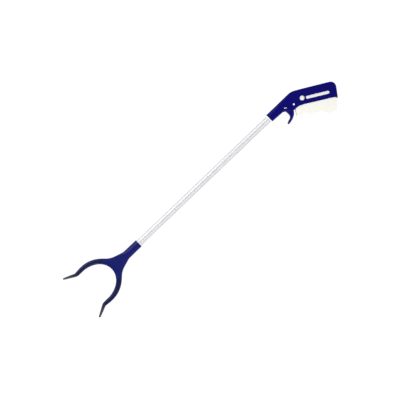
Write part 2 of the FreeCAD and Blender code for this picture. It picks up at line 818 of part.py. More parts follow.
spigot = circle_sketch(
    collar,
    [(0, 0, "sheet.tube_radius + 1"), (0, 0, "sheet.tube_radius")],
    "YZ_Plane",
    "sheet.tube_free_length - 0.5",
)
pad(collar, spigot, "7")
tube()
tube_pin("sleeve_lock_pin", TUBE_PINS[1], "(sheet.sleeve_half - 0.5)")
tube_pin("socket_lock_pin", TUBE_PINS[0], "(sheet.socket_radius - 0.4)")
push_rod()
rod_guides()
round_bar("jaw_end_bush", "-sheet.socket_depth", "8",
          "sheet.tube_radius - sheet.tube_wall", "sheet.rod_radius + sheet.running_gap")
jaw_housing("jaw_housing_upper", True)
jaw_housing("jaw_housing_lower", False)
housing_screws()
crosshead()
upright_pin("crosshead_roll_pin", HUB_PIN_X, 0, "-4", "8", "sheet.roll_pin_radius")
for name, side in (("left", 1), ("right", -1)):
    jaw_arm(f"jaw_arm_{name}", side)
    jaw_tip(f"jaw_tip_{name}", side)
    upright_pin(f"jaw_crank_pin_{name}", JAW_CRANK_X, side * JAW_CRANK_Y, "-sheet.arm_half + 0.5",
                "2 * sheet.arm_half - 1", "sheet.jaw_crank_pin_radius")
pivots = [
    cylinder("sheet.jaw_pivot_radius", "2 * (sheet.housing_half - 1.2)",
             Vector(JAW_X, side * JAW_Y, -dim("housing_half") + 1.2), Vector(0, 0, 1))
    for side in (1, -1)
]
group("jaw_pivot_pins", pivots)
doc.recompute()

# ---------------------------------------------------------------- placing, checking and writing

whole = FreeCAD.BoundBox()
for piece in pieces:
    whole.add(piece.Shape.optimalBoundingBox(False))
shift = Vector(-whole.Center.x, -whole.Center.y, -whole.ZMin)
for piece in pieces:
    piece.Placement = Placement(shift + piece.Placement.Base, piece.Placement.Rotation)
doc.recompute()

for item in doc.Objects:
    if "Invalid" in item.State or "Error" in item.State:
        raise RuntimeError(f"{item.Name} is {item.State}")
for piece in pieces:
    if piece.Shape.isNull() or not piece.Shape.isValid():
        raise RuntimeError(f"{piece.Label} has no valid shape")

print("shift", tuple(round(value, 4) for value in shift))
print("size", whole.XLength, whole.YLength, whole.ZLength)
print("trigger pivot", PIVOT_X + shift.x, PIVOT_Y + shift.y, shift.z)
print("jaw pivots", JAW_X + shift.x, JAW_Y + shift.y, -JAW_Y + shift.y)
print("rod stroke", ROD_STROKE, "jaw crank", JAW_CRANK)

os.makedirs("parts", exist_ok=True)
for piece in pieces:
    piece.Shape.exportStep(f"parts/{piece.Label}.step")
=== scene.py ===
"""Looks of a pick-up reacher: pistol handle, fluted tube and two curved jaws.

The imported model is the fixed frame.  The outer plastic pieces are numpy surfaces laid over it, and
what lies inside (rod, spring, crosshead, pins, screws) keeps its own mesh with a finished material.
Lengths in the shape functions are millimetres about the tube's axis; place() turns them to metres.
"""
import json
import math

import bmesh
import bpy
import numpy as np
from bpy.props import FloatProperty, FloatVectorProperty, PointerProperty
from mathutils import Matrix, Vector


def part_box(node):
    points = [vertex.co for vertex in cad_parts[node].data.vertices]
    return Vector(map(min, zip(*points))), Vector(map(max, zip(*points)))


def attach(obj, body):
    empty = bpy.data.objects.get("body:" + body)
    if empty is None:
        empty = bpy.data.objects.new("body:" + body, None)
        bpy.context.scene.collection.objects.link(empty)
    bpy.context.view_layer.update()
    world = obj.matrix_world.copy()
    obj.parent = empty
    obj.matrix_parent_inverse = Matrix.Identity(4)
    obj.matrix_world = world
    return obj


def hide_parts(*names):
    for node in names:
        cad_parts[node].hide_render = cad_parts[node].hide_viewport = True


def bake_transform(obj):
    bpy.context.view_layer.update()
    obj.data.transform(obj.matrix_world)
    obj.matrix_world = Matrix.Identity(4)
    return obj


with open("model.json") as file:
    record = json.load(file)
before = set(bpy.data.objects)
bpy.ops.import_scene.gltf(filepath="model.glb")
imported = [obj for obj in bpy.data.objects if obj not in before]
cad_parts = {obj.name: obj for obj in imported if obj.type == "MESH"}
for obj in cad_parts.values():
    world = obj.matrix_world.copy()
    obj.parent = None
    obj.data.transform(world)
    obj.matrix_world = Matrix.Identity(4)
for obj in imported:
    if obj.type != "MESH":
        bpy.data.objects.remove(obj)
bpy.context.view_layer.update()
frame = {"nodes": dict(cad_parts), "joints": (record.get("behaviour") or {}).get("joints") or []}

bl_info = {
    "name": "Pick-up Reacher",
    "version": (1, 0, 0),
    "blender": (4, 5, 0),
    "location": "View3D > Sidebar > Reacher",
    "description": "Builds the visible pieces of a pick-up reacher around its packed frame",
    "category": "Object",
}

MM = 0.001

# ---------------------------------------------------------------- places read from the frame


def frame_box(node):
    """Lowest and highest corner of a frame node, in millimetres."""
    low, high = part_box(node)
    return np.array(low) / MM, np.array(high) / MM


def joint_place(name):
    """The place of a hinge of the frame, in millimetres."""
    joint = next(item for item in frame["joints"] if item["name"] == name)
    return np.array(joint["pos_m"]) / MM


TUBE_LOW, TUBE_HIGH = frame_box("tube")
AXIS_Y = (TUBE_LOW[1] + TUBE_HIGH[1]) / 2
AXIS_Z = (TUBE_LOW[2] + TUBE_HIGH[2]) / 2
SLEEVE_MOUTH = frame_box("handle_shell_upper")[0][0]
SOCKET_MOUTH = frame_box("jaw_housing_upper")[1][0]
PIVOT = joint_place("trigger_pivot")[:2] - [0, AXIS_Y]
JAW_PIVOT = joint_place("jaw_left_pivot")[:2] - [0, AXIS_Y]
# The handle's side lies a little below the frame's, so that its prints and its white dash of painted
# highlight stand proud of it and still lie within the frame's thickness.
HANDLE_SIDE = frame_box("handle_shell_upper")[1][2] - AXIS_Z - 0.15
TIP_HALF = frame_box("jaw_tip_left")[1][2] - AXIS_Z
ARM_HALF = frame_box("jaw_arm_left")[1][2] - AXIS_Z
GRIP_ANGLE = math.radians(30.0)

# Sizes in millimetres; a round thing's is its radius, and a half is half a thickness.
TUBE_RADIUS = 8.0
TUBE_BORE = TUBE_RADIUS + 0.02
TUBE_WALL = 1.0
ROD_HOLE = 2.3
SCREW_HEAD = 2.8
SCREW_SHANK = 1.5
SCREW_BOSS = 3.6
LOCK_PIN = 1.5
HOUSING_HALF = 9.8
SOCKET_HALF = 10.2

# In degrees: an edge that turns by more stays sharp.
SMOOTH_ANGLE = 38.0


def from_sleeve(along, side):
    """A plan point counted from the mouth of the handle's sleeve."""
    return (SLEEVE_MOUTH + along, side)


def grip(along, below):
    """A plan point counted along the grip and below it, from the trigger's pivot."""
    x = PIVOT[0] + along * math.cos(GRIP_ANGLE) - below * math.sin(GRIP_ANGLE)
    y = PIVOT[1] - along * math.sin(GRIP_ANGLE) - below * math.cos(GRIP_ANGLE)
    return (x, y)


def ahead(distance, side):
    """A plan point counted ahead of the jaw socket's mouth."""
    return (SOCKET_MOUTH - distance, side)


def place(points):
    """Millimetres about the tube's axis, turned to metres in the frame."""
    return (np.asarray(points, float) + [0, AXIS_Y, AXIS_Z]) * MM


# ---------------------------------------------------------------- curves


def smooth_curve(points, count):
    """Points evenly spaced along a Catmull-Rom curve through the given points.

    Each span is a cubic whose slope at a point is half the step between that point's neighbours.
    """
    knots = np.asarray(points, float)
    padded = np.vstack([2 * knots[0] - knots[1], knots, 2 * knots[-1] - knots[-2]])
    share = np.linspace(0, 1, 24, endpoint=False)[:, None]
    before, start, end, after = (padded[k:len(padded) - 3 + k] for k in range(4))
    spans = 0.5 * (
        2 * start[:, None]
        + (end - before)[:, None] * share
        + (2 * before - 5 * start + 4 * end - after)[:, None] * share**2
        + (3 * start - before - 3 * end + after)[:, None] * share**3
    )
    dense = np.vstack([spans.reshape(-1, knots.shape[1]), knots[-1]])
    return evenly(dense, count)


def evenly(points, count):
    """The same polyline, with count points at equal steps of its length."""
    points = np.asarray(points, float)
    travelled = np.concatenate([[0], np.cumsum(np.linalg.norm(np.diff(points, axis=0), axis=1))])
    wanted = np.linspace(0, travelled[-1], count)
    return np.stack([np.interp(wanted, travelled, column) for column in points.T], axis=1)


def bend(before, corner, after, radius, count=14):
    """Points of the arc that rounds a corner between two neighbours.

    Its centre lies on the corner's bisector, radius / sin(half angle) from the corner.
    """
    before, corner, after = (np.asarray(point, float) for point in (before, corner, after))
    back = (before - corner) / np.linalg.norm(before - corner)
    onward = (after - corner) / np.linalg.norm(after - corner)
    half = math.acos(back @ onward) / 2
    middle = (back + onward) / np.linalg.norm(back + onward)
    across = (onward - back) / np.linalg.norm(onward - back)
    turn = np.linspace(half - math.pi / 2, math.pi / 2 - half, count)
    centre = corner + middle * radius / math.sin(half)
    return centre + radius * (np.outer(np.sin(turn), across) - np.outer(np.cos(turn), middle))


def rounded_outline(corners, step=1.0):
    """A closed plan outline through corners (x, y, radius): straight runs and tangent arcs.

    An arc's centre lies on the corner's bisector, radius / sin(half angle) from the corner.
    """
    rows = []
    for index, (x, y, radius) in enumerate(corners):
        corner = np.array([x, y])
        back = np.array(corners[index - 1][:2]) - corner
        onward = np.array(corners[(index + 1) % len(corners)][:2]) - corner
        back /= np.linalg.norm(back)
        onward /= np.linalg.norm(onward)
        half = math.acos(np.clip(back @ onward, -1, 1)) / 2
        if radius <= 0 or abs(half - math.pi / 2) < 1e-6:
            rows.append(corner[None])
            continue
        middle = (back + onward) / np.linalg.norm(back + onward)
        centre = corner + middle * radius / math.sin(half)
        sweep = math.pi / 2 - half
        turn = np.linspace(-sweep, sweep, max(3, int(2 * sweep * radius / step) + 2))
        across = np.array([-middle[1], middle[0]])
        if across @ onward < 0:
            across = -across
        arc_points = np.outer(np.sin(turn), across) - np.outer(np.cos(turn), middle)
        rows.append(centre + radius * arc_points)
    loop = np.vstack(rows)
    closed = np.vstack([loop, loop[:1]])
    length = np.linalg.norm(np.diff(closed, axis=0), axis=1).sum()
    loop = evenly(closed, int(length / step) + 1)[:-1]
    onward = np.roll(loop, -1, axis=0)
    area = (loop[:, 0] * onward[:, 1] - loop[:, 1] * onward[:, 0]).sum()
    return loop if area > 0 else loop[::-1]


def outward(loop):
    """The unit normal of a counter-clockwise loop at each of its points, pointing outwards."""
    along = np.roll(loop, -1, axis=0) - np.roll(loop, 1, axis=0)
    along /= np.linalg.norm(along, axis=1, keepdims=True)
    return np.stack([along[:, 1], -along[:, 0]], axis=1)


# ---------------------------------------------------------------- meshes


def make_mesh(name, points, faces):
    """A mesh object at the origin from points in millimetres about the tube's axis."""
    mesh = bpy.data.meshes.new(name)
    mesh.from_pydata(place(points).tolist(), [], faces)
    mesh.validate()
    piece = bpy.data.objects.new(name, mesh)
    bpy.context.scene.collection.objects.link(piece)
    shade(piece)
    return piece


def shade(piece):
    """Smooth shading, with the sharper edges kept sharp."""
    mesh = piece.data
    mesh.polygons.foreach_set("use_smooth", [True] * len(mesh.polygons))
    mesh.set_sharp_from_angle(angle=math.radians(SMOOTH_ANGLE))
    mesh.update()


def grid_faces(rows, columns, wrap=True):
    """Quads of a rows by columns grid of points, joined round its columns when it wraps."""
    last = columns if wrap else columns - 1
    row, column = np.meshgrid(np.arange(rows - 1), np.arange(last), indexing="ij")
    onward = (column + 1) % columns
    first = row * columns
    quads = np.stack([first + column, first + onward, first + columns + onward,
                      first + columns + column], axis=-1)
    return quads.reshape(-1, 4).tolist()


def ringed(name, rings):
    """A closed solid from a stack of rings: a grid of points, closed by one face at each end."""
    rings = np.asarray(rings, float)
    count, around = rings.shape[:2]
    faces = grid_faces(count, around)
    faces.append(list(range(around))[::-1])
    faces.append(list(range((count - 1) * around, count * around)))
    return make_mesh(name, rings.reshape(-1, 3), faces)


def slab(name, loop, profile):
    """A solid whose edge is one section carried round a plan outline.

    Each profile point (inset, height) gives one ring: the outline moved inwards by the inset, at
    that height.  The first and the last ring are closed by flat faces.
    """
    inwards = -outward(loop)
    profile = np.asarray(profile, float)
    plan = loop[None] + inwards[None] * profile[:, None, :1]
    height = np.broadcast_to(profile[:, None, 1:], plan.shape[:2] + (1,))
    return ringed(name, np.concatenate([plan, height], axis=2))


def bar(name, one_side, other_side, half_height, squareness, end_round=(1.0, 1.0), around=56):
    """A bar between two plan curves, whose section is a superellipse at every station.

    At angle a the section stands cos(a) ** (2 / s) of the half width to the side and
    sin(a) ** (2 / s) of the half height up; s is the squareness, 2 for an ellipse.  Beyond each
    end the section shrinks along a quarter circle, which rounds the end's edge.
    """
    one_side, other_side = np.asarray(one_side, float), np.asarray(other_side, float)
    count = len(one_side)
    half_height = np.broadcast_to(half_height, count).astype(float)
    squareness = np.broadcast_to(squareness, count).astype(float)
    centre = (one_side + other_side) / 2
    lateral = (one_side - other_side) / 2
    width = np.linalg.norm(lateral, axis=1)
    lateral = lateral / width[:, None]
    rows = [(centre, lateral, width, half_height, squareness)]
    for end, radius in ((0, end_round[0]), (-1, end_round[1])):
        if radius <= 0:
            continue
        turn = np.linspace(0, math.pi / 2, 6)[1:, None]
        inner = centre[1] if end == 0 else centre[-2]
        outwards = centre[end] - inner
        outwards = np.array([lateral[end][1], -lateral[end][0]]) * np.sign(
            lateral[end][1] * outwards[0] - lateral[end][0] * outwards[1])
        steps = centre[end] + outwards * radius * np.sin(turn)
        lost = radius * (1 - np.cos(turn[:, 0]))
        extra = (
            steps,
            np.repeat(lateral[end][None], 5, axis=0),
            width[end] - lost,
            half_height[end] - lost,
            np.repeat(squareness[end], 5),
        )
        if end == 0:
            rows.insert(0, tuple(item[::-1] for item in extra))
        else:
            rows.append(extra)
    centre, lateral, width, height, square = (np.concatenate(column) for column in zip(*rows))
    angle = np.linspace(0, 2 * math.pi, around, endpoint=False)
    power = 2 / square[:, None]
    sideways = np.sign(np.cos(angle)) * np.abs(np.cos(angle)) ** power * width[:, None]
    upwards = np.sign(np.sin(angle)) * np.abs(np.sin(angle)) ** power * height[:, None]
    plan = centre[:, None] + lateral[:, None] * sideways[..., None]
    rings = np.concatenate([plan, upwards[..., None]], axis=2)
    flow = rings[-1].mean(axis=0) - rings[0].mean(axis=0)
    spin = np.cross(rings[0][1] - rings[0][0], rings[0][2] - rings[0][1])
    if spin @ flow < 0:
        rings = rings[:, ::-1]
    return ringed(name, rings)


def turned(name, stations, radii, around=64):
    """A solid turned about the tube's axis: radius against place along X, closed at both ends."""
    angle = np.linspace(0, 2 * math.pi, around, endpoint=False)
    stations = np.asarray(stations, float)[:, None]
    radii = np.asarray(radii, float)[:, None]
    if stations[-1, 0] < stations[0, 0]:
        stations, radii = stations[::-1], radii[::-1]
    rings = np.stack([
        np.broadcast_to(stations, (len(stations), around)),
        radii * np.cos(angle),
        radii * np.sin(angle),
    ], axis=2)
    return ringed(name, rings)


def upright(name, x, y, heights, radii, around=48):
    """A solid turned about an upright line: radius against height, closed at both ends."""
    angle = np.linspace(0, 2 * math.pi, around, endpoint=False)
    heights = np.asarray(heights, float)[:, None]
    radii = np.asarray(radii, float)[:, None]
    rings = np.stack([
        x + radii * np.cos(angle),
        y + radii * np.sin(angle),
        np.broadcast_to(heights, (len(heights), around)),
    ], axis=2)
    return ringed(name, rings)


def prism(name, corners, low, high):
    """A plan outline raised from one height to another."""
    return slab(name, rounded_outline(corners), [(0, low), (0, high)])


def join_solids(piece, operation, tools):
    """Unite solids with the piece or cut them away, and keep the result as the piece's mesh."""
    for tool in tools:
        cut = piece.modifiers.new(operation, "BOOLEAN")
        cut.operation = operation
        cut.solver = "EXACT"
        cut.object = tool
        evaluated = piece.evaluated_get(bpy.context.evaluated_depsgraph_get())
        mesh = bpy.data.meshes.new_from_object(evaluated)
        piece.modifiers.clear()
        if len(mesh.polygons) < len(piece.data.polygons) / 4:
            raise RuntimeError(f"{operation} with {tool.name} loses {piece.name}")
        piece.data = mesh
    for tool in tools:
        bpy.data.objects.remove(tool)
    return piece


def drop_slivers(piece, shortest=0.001):
    """Close up the edges shorter than this many millimetres, and the slivers on them."""
    soup = bmesh.new()
    soup.from_mesh(piece.data)
    bmesh.ops.dissolve_degenerate(soup, dist=shortest * MM, edges=soup.edges)
    bmesh.ops.triangulate(soup, faces=[face for face in soup.faces if len(face.verts) > 4])
    bmesh.ops.dissolve_degenerate(soup, dist=shortest * MM, edges=soup.edges)
    soup.to_mesh(piece.data)
    soup.free()


def copy_of(piece, name):
    """A second object with its own copy of the mesh."""
    twin = bpy.data.objects.new(name, piece.data.copy())
    bpy.context.scene.collection.objects.link(twin)
    return twin


def finish_piece(piece, body, material, nodes=()):
    """Give a piece its finish, hang it on the body it rides on, and hide the frame nodes it stands
    for.

    Without a body the piece is left free.
    """
    drop_slivers(piece)
    shade(piece)
    piece.data.materials.clear()
    piece.data.materials.append(material)
    if body:
        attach(piece, body)
    if nodes:
        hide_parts(*nodes)
    return piece


# ---------------------------------------------------------------- materials


def linear(hex_colour):
    """The linear colour of an sRGB hex value, such as 0x1C1969."""
    channels = np.array([hex_colour >> 16 & 255, hex_colour >> 8 & 255, hex_colour & 255]) / 255
    curve = np.where(channels <= 0.04045, channels / 12.92, ((channels + 0.055) / 1.055) ** 2.4)
    return (*curve.tolist(), 1.0)


def per_metre(size_mm):
    """The scale of a pattern whose features are this many millimetres across."""
    return 1 / (size_mm * MM)


def add_node(tree, kind, inputs=None, **settings):
    """A node with its settings, and its inputs set to a value or linked to an output socket."""
    node = tree.nodes.new(kind)
    for name, value in settings.items():
        setattr(node, name, value)
    for name, value in (inputs or {}).items():
        if isinstance(value, bpy.types.NodeSocket):
            tree.links.new(value, node.inputs[name])
        else:
            node.inputs[name].default_value = value
    return node


def start_material(name, constants):
    """A material with one shader whose constant sockets are set, its tree and its shader."""
    material = bpy.data.materials.new(name)
    material.use_nodes = True
    tree = material.node_tree
    tree.nodes.clear()
    shader = add_node(tree, "ShaderNodeBsdfPrincipled", constants)
    output = add_node(tree, "ShaderNodeOutputMaterial")
    tree.links.new(shader.outputs["BSDF"], output.inputs["Surface"])
    return material, tree, shader


def place_in_object(tree, scale=(1.0, 1.0, 1.0)):
    """Object coordinates, stretched by a scale."""
    where = add_node(tree, "ShaderNodeTexCoord")
    stretched = add_node(tree, "ShaderNodeMapping", {
        "Vector": where.outputs["Object"], "Scale": scale})
    return stretched.outputs["Vector"]


def moulded_plastic(name, base, deeper, gloss, roughness, grain_mm, grain_depth_mm):
    """Injection-moulded ABS: an even colour with faint flow marks, and the mould's fine grain.

    The grain shows as a soft break-up of the gloss; the flow marks as slow drifts of the colour.
    """
    material, tree, shader = start_material(name, {"IOR": 1.54, "Specular IOR Level": gloss})
    here = place_in_object(tree)
    flow = add_node(tree, "ShaderNodeTexNoise", {
        "Vector": here, "Scale": per_metre(38.0), "Detail": 2.0, "Roughness": 0.45})
    colour = add_node(tree, "ShaderNodeMix", {
        "Factor": flow.outputs["Fac"], "A": linear(base), "B": linear(deeper)}, data_type="RGBA")
    tree.links.new(colour.outputs["Result"], shader.inputs["Base Color"])
    handling = add_node(tree, "ShaderNodeTexNoise", {
        "Vector": here, "Scale": per_metre(16.0), "Detail": 5.0, "Roughness": 0.6})
    worn = add_node(tree, "ShaderNodeMapRange", {
        "Value": handling.outputs["Fac"], "From Min": 0.35, "From Max": 0.65,
        "To Min": roughness - 0.05, "To Max": roughness + 0.06})
    tree.links.new(worn.outputs["Result"], shader.inputs["Roughness"])
    grain = add_node(tree, "ShaderNodeTexNoise", {
        "Vector": here, "Scale": per_metre(grain_mm), "Detail": 3.0, "Roughness": 0.6})
    bump = add_node(tree, "ShaderNodeBump", {
        "Height": grain.outputs["Fac"], "Strength": 0.5, "Distance": grain_depth_mm * MM})
    tree.links.new(bump.outputs["Normal"], shader.inputs["Normal"])
    return material


def drawn_aluminium(name, base, shadow, painted_shade_tone):
    """Satin-anodised aluminium tube: drawn through a die, so its fine lines run along its length.

    The flutes and both sides are painted darker than the lands: painted shade in the flutes' hollows
    and down both sides.
    Real die lines are much finer than the 0.9 mm that is drawn here, so that they show.
    """
    material, tree, shader = start_material(name, {
        "Metallic": 0.25, "Specular IOR Level": 0.15, "Specular Tint": linear(0xA8A8B0)})
    along = place_in_object(tree, (0.02, 1.0, 1.0))
    lines = add_node(tree, "ShaderNodeTexNoise", {
        "Vector": along, "Scale": per_metre(0.9), "Detail": 4.0, "Roughness": 0.6})
    streaked = add_node(tree, "ShaderNodeMix", {
        "Factor": lines.outputs["Fac"], "A": linear(base), "B": linear(shadow)}, data_type="RGBA")
    # Painted shade: this mask mixes the flutes and both sides of the tube towards a darker tone.
    painted_shade_mask = add_node(tree, "ShaderNodeAttribute", attribute_name="painted_shade_mask")
    colour = add_node(tree, "ShaderNodeMix", {
        "Factor": painted_shade_mask.outputs["Fac"], "A": streaked.outputs["Result"], "B": linear(painted_shade_tone)},
        data_type="RGBA")
    tree.links.new(colour.outputs["Result"], shader.inputs["Base Color"])
    satin = add_node(tree, "ShaderNodeMapRange", {
        "Value": lines.outputs["Fac"], "From Min": 0.3, "From Max": 0.7,
        "To Min": 0.50, "To Max": 0.60})
    tree.links.new(satin.outputs["Result"], shader.inputs["Roughness"])
    bump = add_node(tree, "ShaderNodeBump", {
        "Height": lines.outputs["Fac"], "Strength": 0.35, "Distance": 0.03 * MM})
    tree.links.new(bump.outputs["Normal"], shader.inputs["Normal"])
    return material


def turned_steel(name, base, tool_mark_mm):
    """Zinc-plated steel: bright, a little cloudy, with close tool marks."""
    material, tree, shader = start_material(name, {"Metallic": 1.0})
    here = place_in_object(tree)
    cloud = add_node(tree, "ShaderNodeTexNoise", {
        "Vector": here, "Scale": per_metre(4.0), "Detail": 4.0, "Roughness": 0.55})
    colour = add_node(tree, "ShaderNodeMix", {
        "Factor": cloud.outputs["Fac"], "A": linear(base), "B": linear(0x8E9196)}, data_type="RGBA")
    tree.links.new(colour.outputs["Result"], shader.inputs["Base Color"])
    satin = add_node(tree, "ShaderNodeMapRange", {
        "Value": cloud.outputs["Fac"], "To Min": 0.22, "To Max": 0.42})
    tree.links.new(satin.outputs["Result"], shader.inputs["Roughness"])
    marks = add_node(tree, "ShaderNodeTexNoise", {
        "Vector": here, "Scale": per_metre(tool_mark_mm), "Detail": 2.0})
    bump = add_node(tree, "ShaderNodeBump", {
        "Height": marks.outputs["Fac"], "Strength": 0.3, "Distance": 0.02 * MM})
    tree.links.new(bump.outputs["Normal"], shader.inputs["Normal"])
    return material


def moulded_rubber(name, base, paler_end, tip_end):
    """Thermoplastic rubber over the jaw ends: matt, and paler towards the gripping end."""
    material, tree, shader = start_material(name, {"IOR": 1.52, "Specular IOR Level": 0.3})
    where = add_node(tree, "ShaderNodeTexCoord")
    place_along = add_node(tree, "ShaderNodeSeparateXYZ", {"Vector": where.outputs["Object"]})
    # The colour is mixed towards a paler grey near the gripping end, broken up by noise.
    towards_end = add_node(tree, "ShaderNodeMapRange", {
        "Value": place_along.outputs["X"], "From Min": (tip_end + 26.0) * MM,
        "From Max": (tip_end + 1.0) * MM, "To Min": 0.0, "To Max": 0.75})
    scuffs = add_node(tree, "ShaderNodeTexNoise", {
        "Vector": where.outputs["Object"], "Scale": per_metre(3.5), "Detail": 5.0,
        "Roughness": 0.65})
    amount = add_node(tree, "ShaderNodeMath", {
        0: towards_end.outputs["Result"], 1: scuffs.outputs["Fac"]}, operation="MULTIPLY")
    colour = add_node(tree, "ShaderNodeMix", {
        "Factor": amount.outputs["Value"], "A": linear(base), "B": linear(paler_end)},
        data_type="RGBA")
    tree.links.new(colour.outputs["Result"], shader.inputs["Base Color"])
    matt = add_node(tree, "ShaderNodeMapRange", {
        "Value": scuffs.outputs["Fac"], "To Min": 0.48, "To Max": 0.72})
    tree.links.new(matt.outputs["Result"], shader.inputs["Roughness"])
    grain = add_node(tree, "ShaderNodeTexNoise", {
        "Vector": where.outputs["Object"], "Scale": per_metre(0.8), "Detail": 3.0})
    bump = add_node(tree, "ShaderNodeBump", {
        "Height": grain.outputs["Fac"], "Strength": 0.6, "Distance": 0.08 * MM})
    tree.links.new(bump.outputs["Normal"], shader.inputs["Normal"])
    return material


def glowing_table(name, light, face, glow):
    """Opal acrylic over a lamp box: an even white light, and a dull face with faint shadows."""
    material, tree, shader = start_material(name, {
        "Roughness": 0.95, "Specular IOR Level": 0.1, "Emission Color": linear(light),
        "Emission Strength": glow})
    here = place_in_object(tree)
    drift = add_node(tree, "ShaderNodeTexNoise", {"Vector": here, "Scale": 1.5, "Detail": 1.0})
    colour = add_node(tree, "ShaderNodeMix", {
        "Factor": drift.outputs["Fac"], "A": linear(face), "B": linear(blended(face, light, 0.1))},
        data_type="RGBA")
    tree.links.new(colour.outputs["Result"], shader.inputs["Base Color"])
    return material


def hex_of(colour):
    """The sRGB hex value of a colour property, whose channels are sRGB from 0 to 1."""
    red, green, blue = (int(round(channel * 255)) for channel in colour)
    return red << 16 | green << 8 | blue


def blended(hex_a, hex_b, share):
    """The sRGB hex value a share of the way from one colour to another."""
    parts = [
        round((hex_a >> shift & 255) * (1 - share) + (hex_b >> shift & 255) * share)
        for shift in (16, 8, 0)
    ]
    return parts[0] << 16 | parts[1] << 8 | parts[2]


# ---------------------------------------------------------------- handle


def handle_sides():
    """Plan curves of the palm side and of the finger side of the handle, paired station by station.

    The palm side runs straight along the sleeve, bends through 30 degrees onto the grip and turns
    down at the rear; the finger side swells round the trigger's pivot and then follows the grip.
    """
    mouth, bend_at = from_sleeve(1.0, 10.6), from_sleeve(78.2, 10.8)
    heel, rear_low = grip(106.6, -32.0), grip(102.5, 8.2)
    over_bend = bend(mouth, bend_at, heel, 36.0)
    over_heel = bend(bend_at, heel, rear_low, 13.0, 20)
    rear_high = over_heel[-1] + (rear_low - over_heel[-1]) * 0.9
    palm = [
        evenly([mouth, from_sleeve(33.0, 10.6)], 14),
        evenly([from_sleeve(33.0, 10.6), from_sleeve(58.0, 10.7)], 16),
        evenly([from_sleeve(58.0, 10.7), *over_bend, grip(22.0, -31.3)], 30),
        evenly([grip(22.0, -31.3), over_heel[0]], 34),
        evenly([*over_heel, rear_high], 34),
        evenly([rear_high, rear_low], 5),
    ]
    finger = [
        evenly([from_sleeve(1.0, -10.0), from_sleeve(33.0, -11.4)], 14),
        smooth_curve([from_sleeve(33.0, -11.4), from_sleeve(37.0, -13.6), from_sleeve(41.0, -18.0),
                      from_sleeve(47.0, -23.2), from_sleeve(53.0, -25.6)], 16),
        smooth_curve([from_sleeve(53.0, -25.6), from_sleeve(58.5, -26.0), grip(5.5, 9.0),
                      grip(11.5, 6.9), grip(22.0, 5.5)], 30),
        evenly([grip(22.0, 5.5), grip(93.0, 6.4)], 34),
        evenly([grip(93.0, 6.4), grip(99.6, 6.5)], 34),
        evenly([grip(99.6, 6.5), grip(99.7, 8.2)], 5),
    ]
    join = [np.vstack([part[:-1] for part in curve] + [curve[-1][-1:]]) for curve in (palm, finger)]
    return join[0], join[1]


def handle_solid():
    """The whole handle as one solid: the body about its bent spine, and the hook below it."""
    palm, finger = handle_sides()
    along = palm[:, 0] - SLEEVE_MOUTH
    height = np.interp(along, [0, 20, 56], [10.6, 11.2, HANDLE_SIDE])
    square = np.interp(along, [0, 22, 60], [2.1, 2.8, 7.0])
    body = bar("handle_body", palm, finger, height, square, end_round=(1.0, 0.8), around=96)
    inner = smooth_curve([
        from_sleeve(38.2, -15.5), from_sleeve(38.9, -20.0), from_sleeve(38.9, -25.0),
        from_sleeve(38.0, -29.0), from_sleeve(34.8, -32.2), from_sleeve(29.4, -34.1),
        from_sleeve(26.0, -35.4), from_sleeve(24.0, -36.4)], 40)
    outer = smooth_curve([
        from_sleeve(55.0, -16.0), from_sleeve(55.2, -21.5), from_sleeve(53.4, -26.4),
        from_sleeve(50.2, -30.7), from_sleeve(45.6, -34.6), from_sleeve(39.0, -38.0),
        from_sleeve(31.6, -40.2), from_sleeve(25.4, -41.3)], 40)
    step = np.linspace(0, 1, 40)
    hook = bar("hook", inner, outer, 11.6 - 2.2 * step, 2.4 - 0.4 * step, end_round=(1.0, 1.8))
    return join_solids(body, "UNION", [hook])


def handle_hollow():
    """The space inside the handle for the trigger, the clevis and the spring."""
    rib_back = 38.0
    corners = [
        (*from_sleeve(rib_back, 7.6), 1.0),
        (*from_sleeve(77.4, 7.6), 57.0),
        (*grip(102.6, -28.9), 11.0),
        (*grip(101.4, 14.0), 0.0),
        (*grip(3.0, 14.0), 0.0),
        (PIVOT[0] - 7.1, PIVOT[1] - 6.2, 2.0),
        (PIVOT[0] - 9.1, PIVOT[1], 3.0),
        (PIVOT[0] - 18.0, PIVOT[1] + 6.8, 4.0),
        (*from_sleeve(rib_back, -7.6), 1.0),
    ]
    return prism("hollow", corners, -10.5, 10.5)


def bored(name, start, end, radius):
    """A plain round tool along the tube's axis, for cutting a bore."""
    return turned(name, [start, end], [radius, radius])


def drill(name, x, y, low, high, radius):
    """A plain round tool along an upright line, for cutting a hole."""
    return upright(name, x, y, [low, high], [radius, radius], around=32)


def screw_hole(x, y, head_top):
    """A stepped round tool from below: a recess for the screw's head, then a hole for its shank."""
    return upright("screw_hole", x, y, [-20.0, head_top, head_top, 1.0],
                   [SCREW_HEAD, SCREW_HEAD, SCREW_SHANK, SCREW_SHANK], around=36)


def parting_slab(name, low, high):
    """A wide block between two heights, for keeping one half of a moulding."""
    reach = 600.0
    square = reach * np.array([(-1, -1), (1, -1), (1, 1), (-1, 1)])
    return slab(name, square, [(0, low), (0, high)])


def halves(whole, upper_name, lower_name, seam):
    """The two halves of a moulding that part on the plane of the tube, with a fine open seam."""
    lower = copy_of(whole, lower_name)
    whole.name = upper_name
    join_solids(whole, "INTERSECT", [parting_slab("keep", seam, 60.0)])
    join_solids(lower, "INTERSECT", [parting_slab("keep", -60.0, -seam)])
    return whole, lower


SHELL_SCREWS = [from_sleeve(46.5, -21.5), grip(40.0, -22.5), grip(76.0, -25.0)]


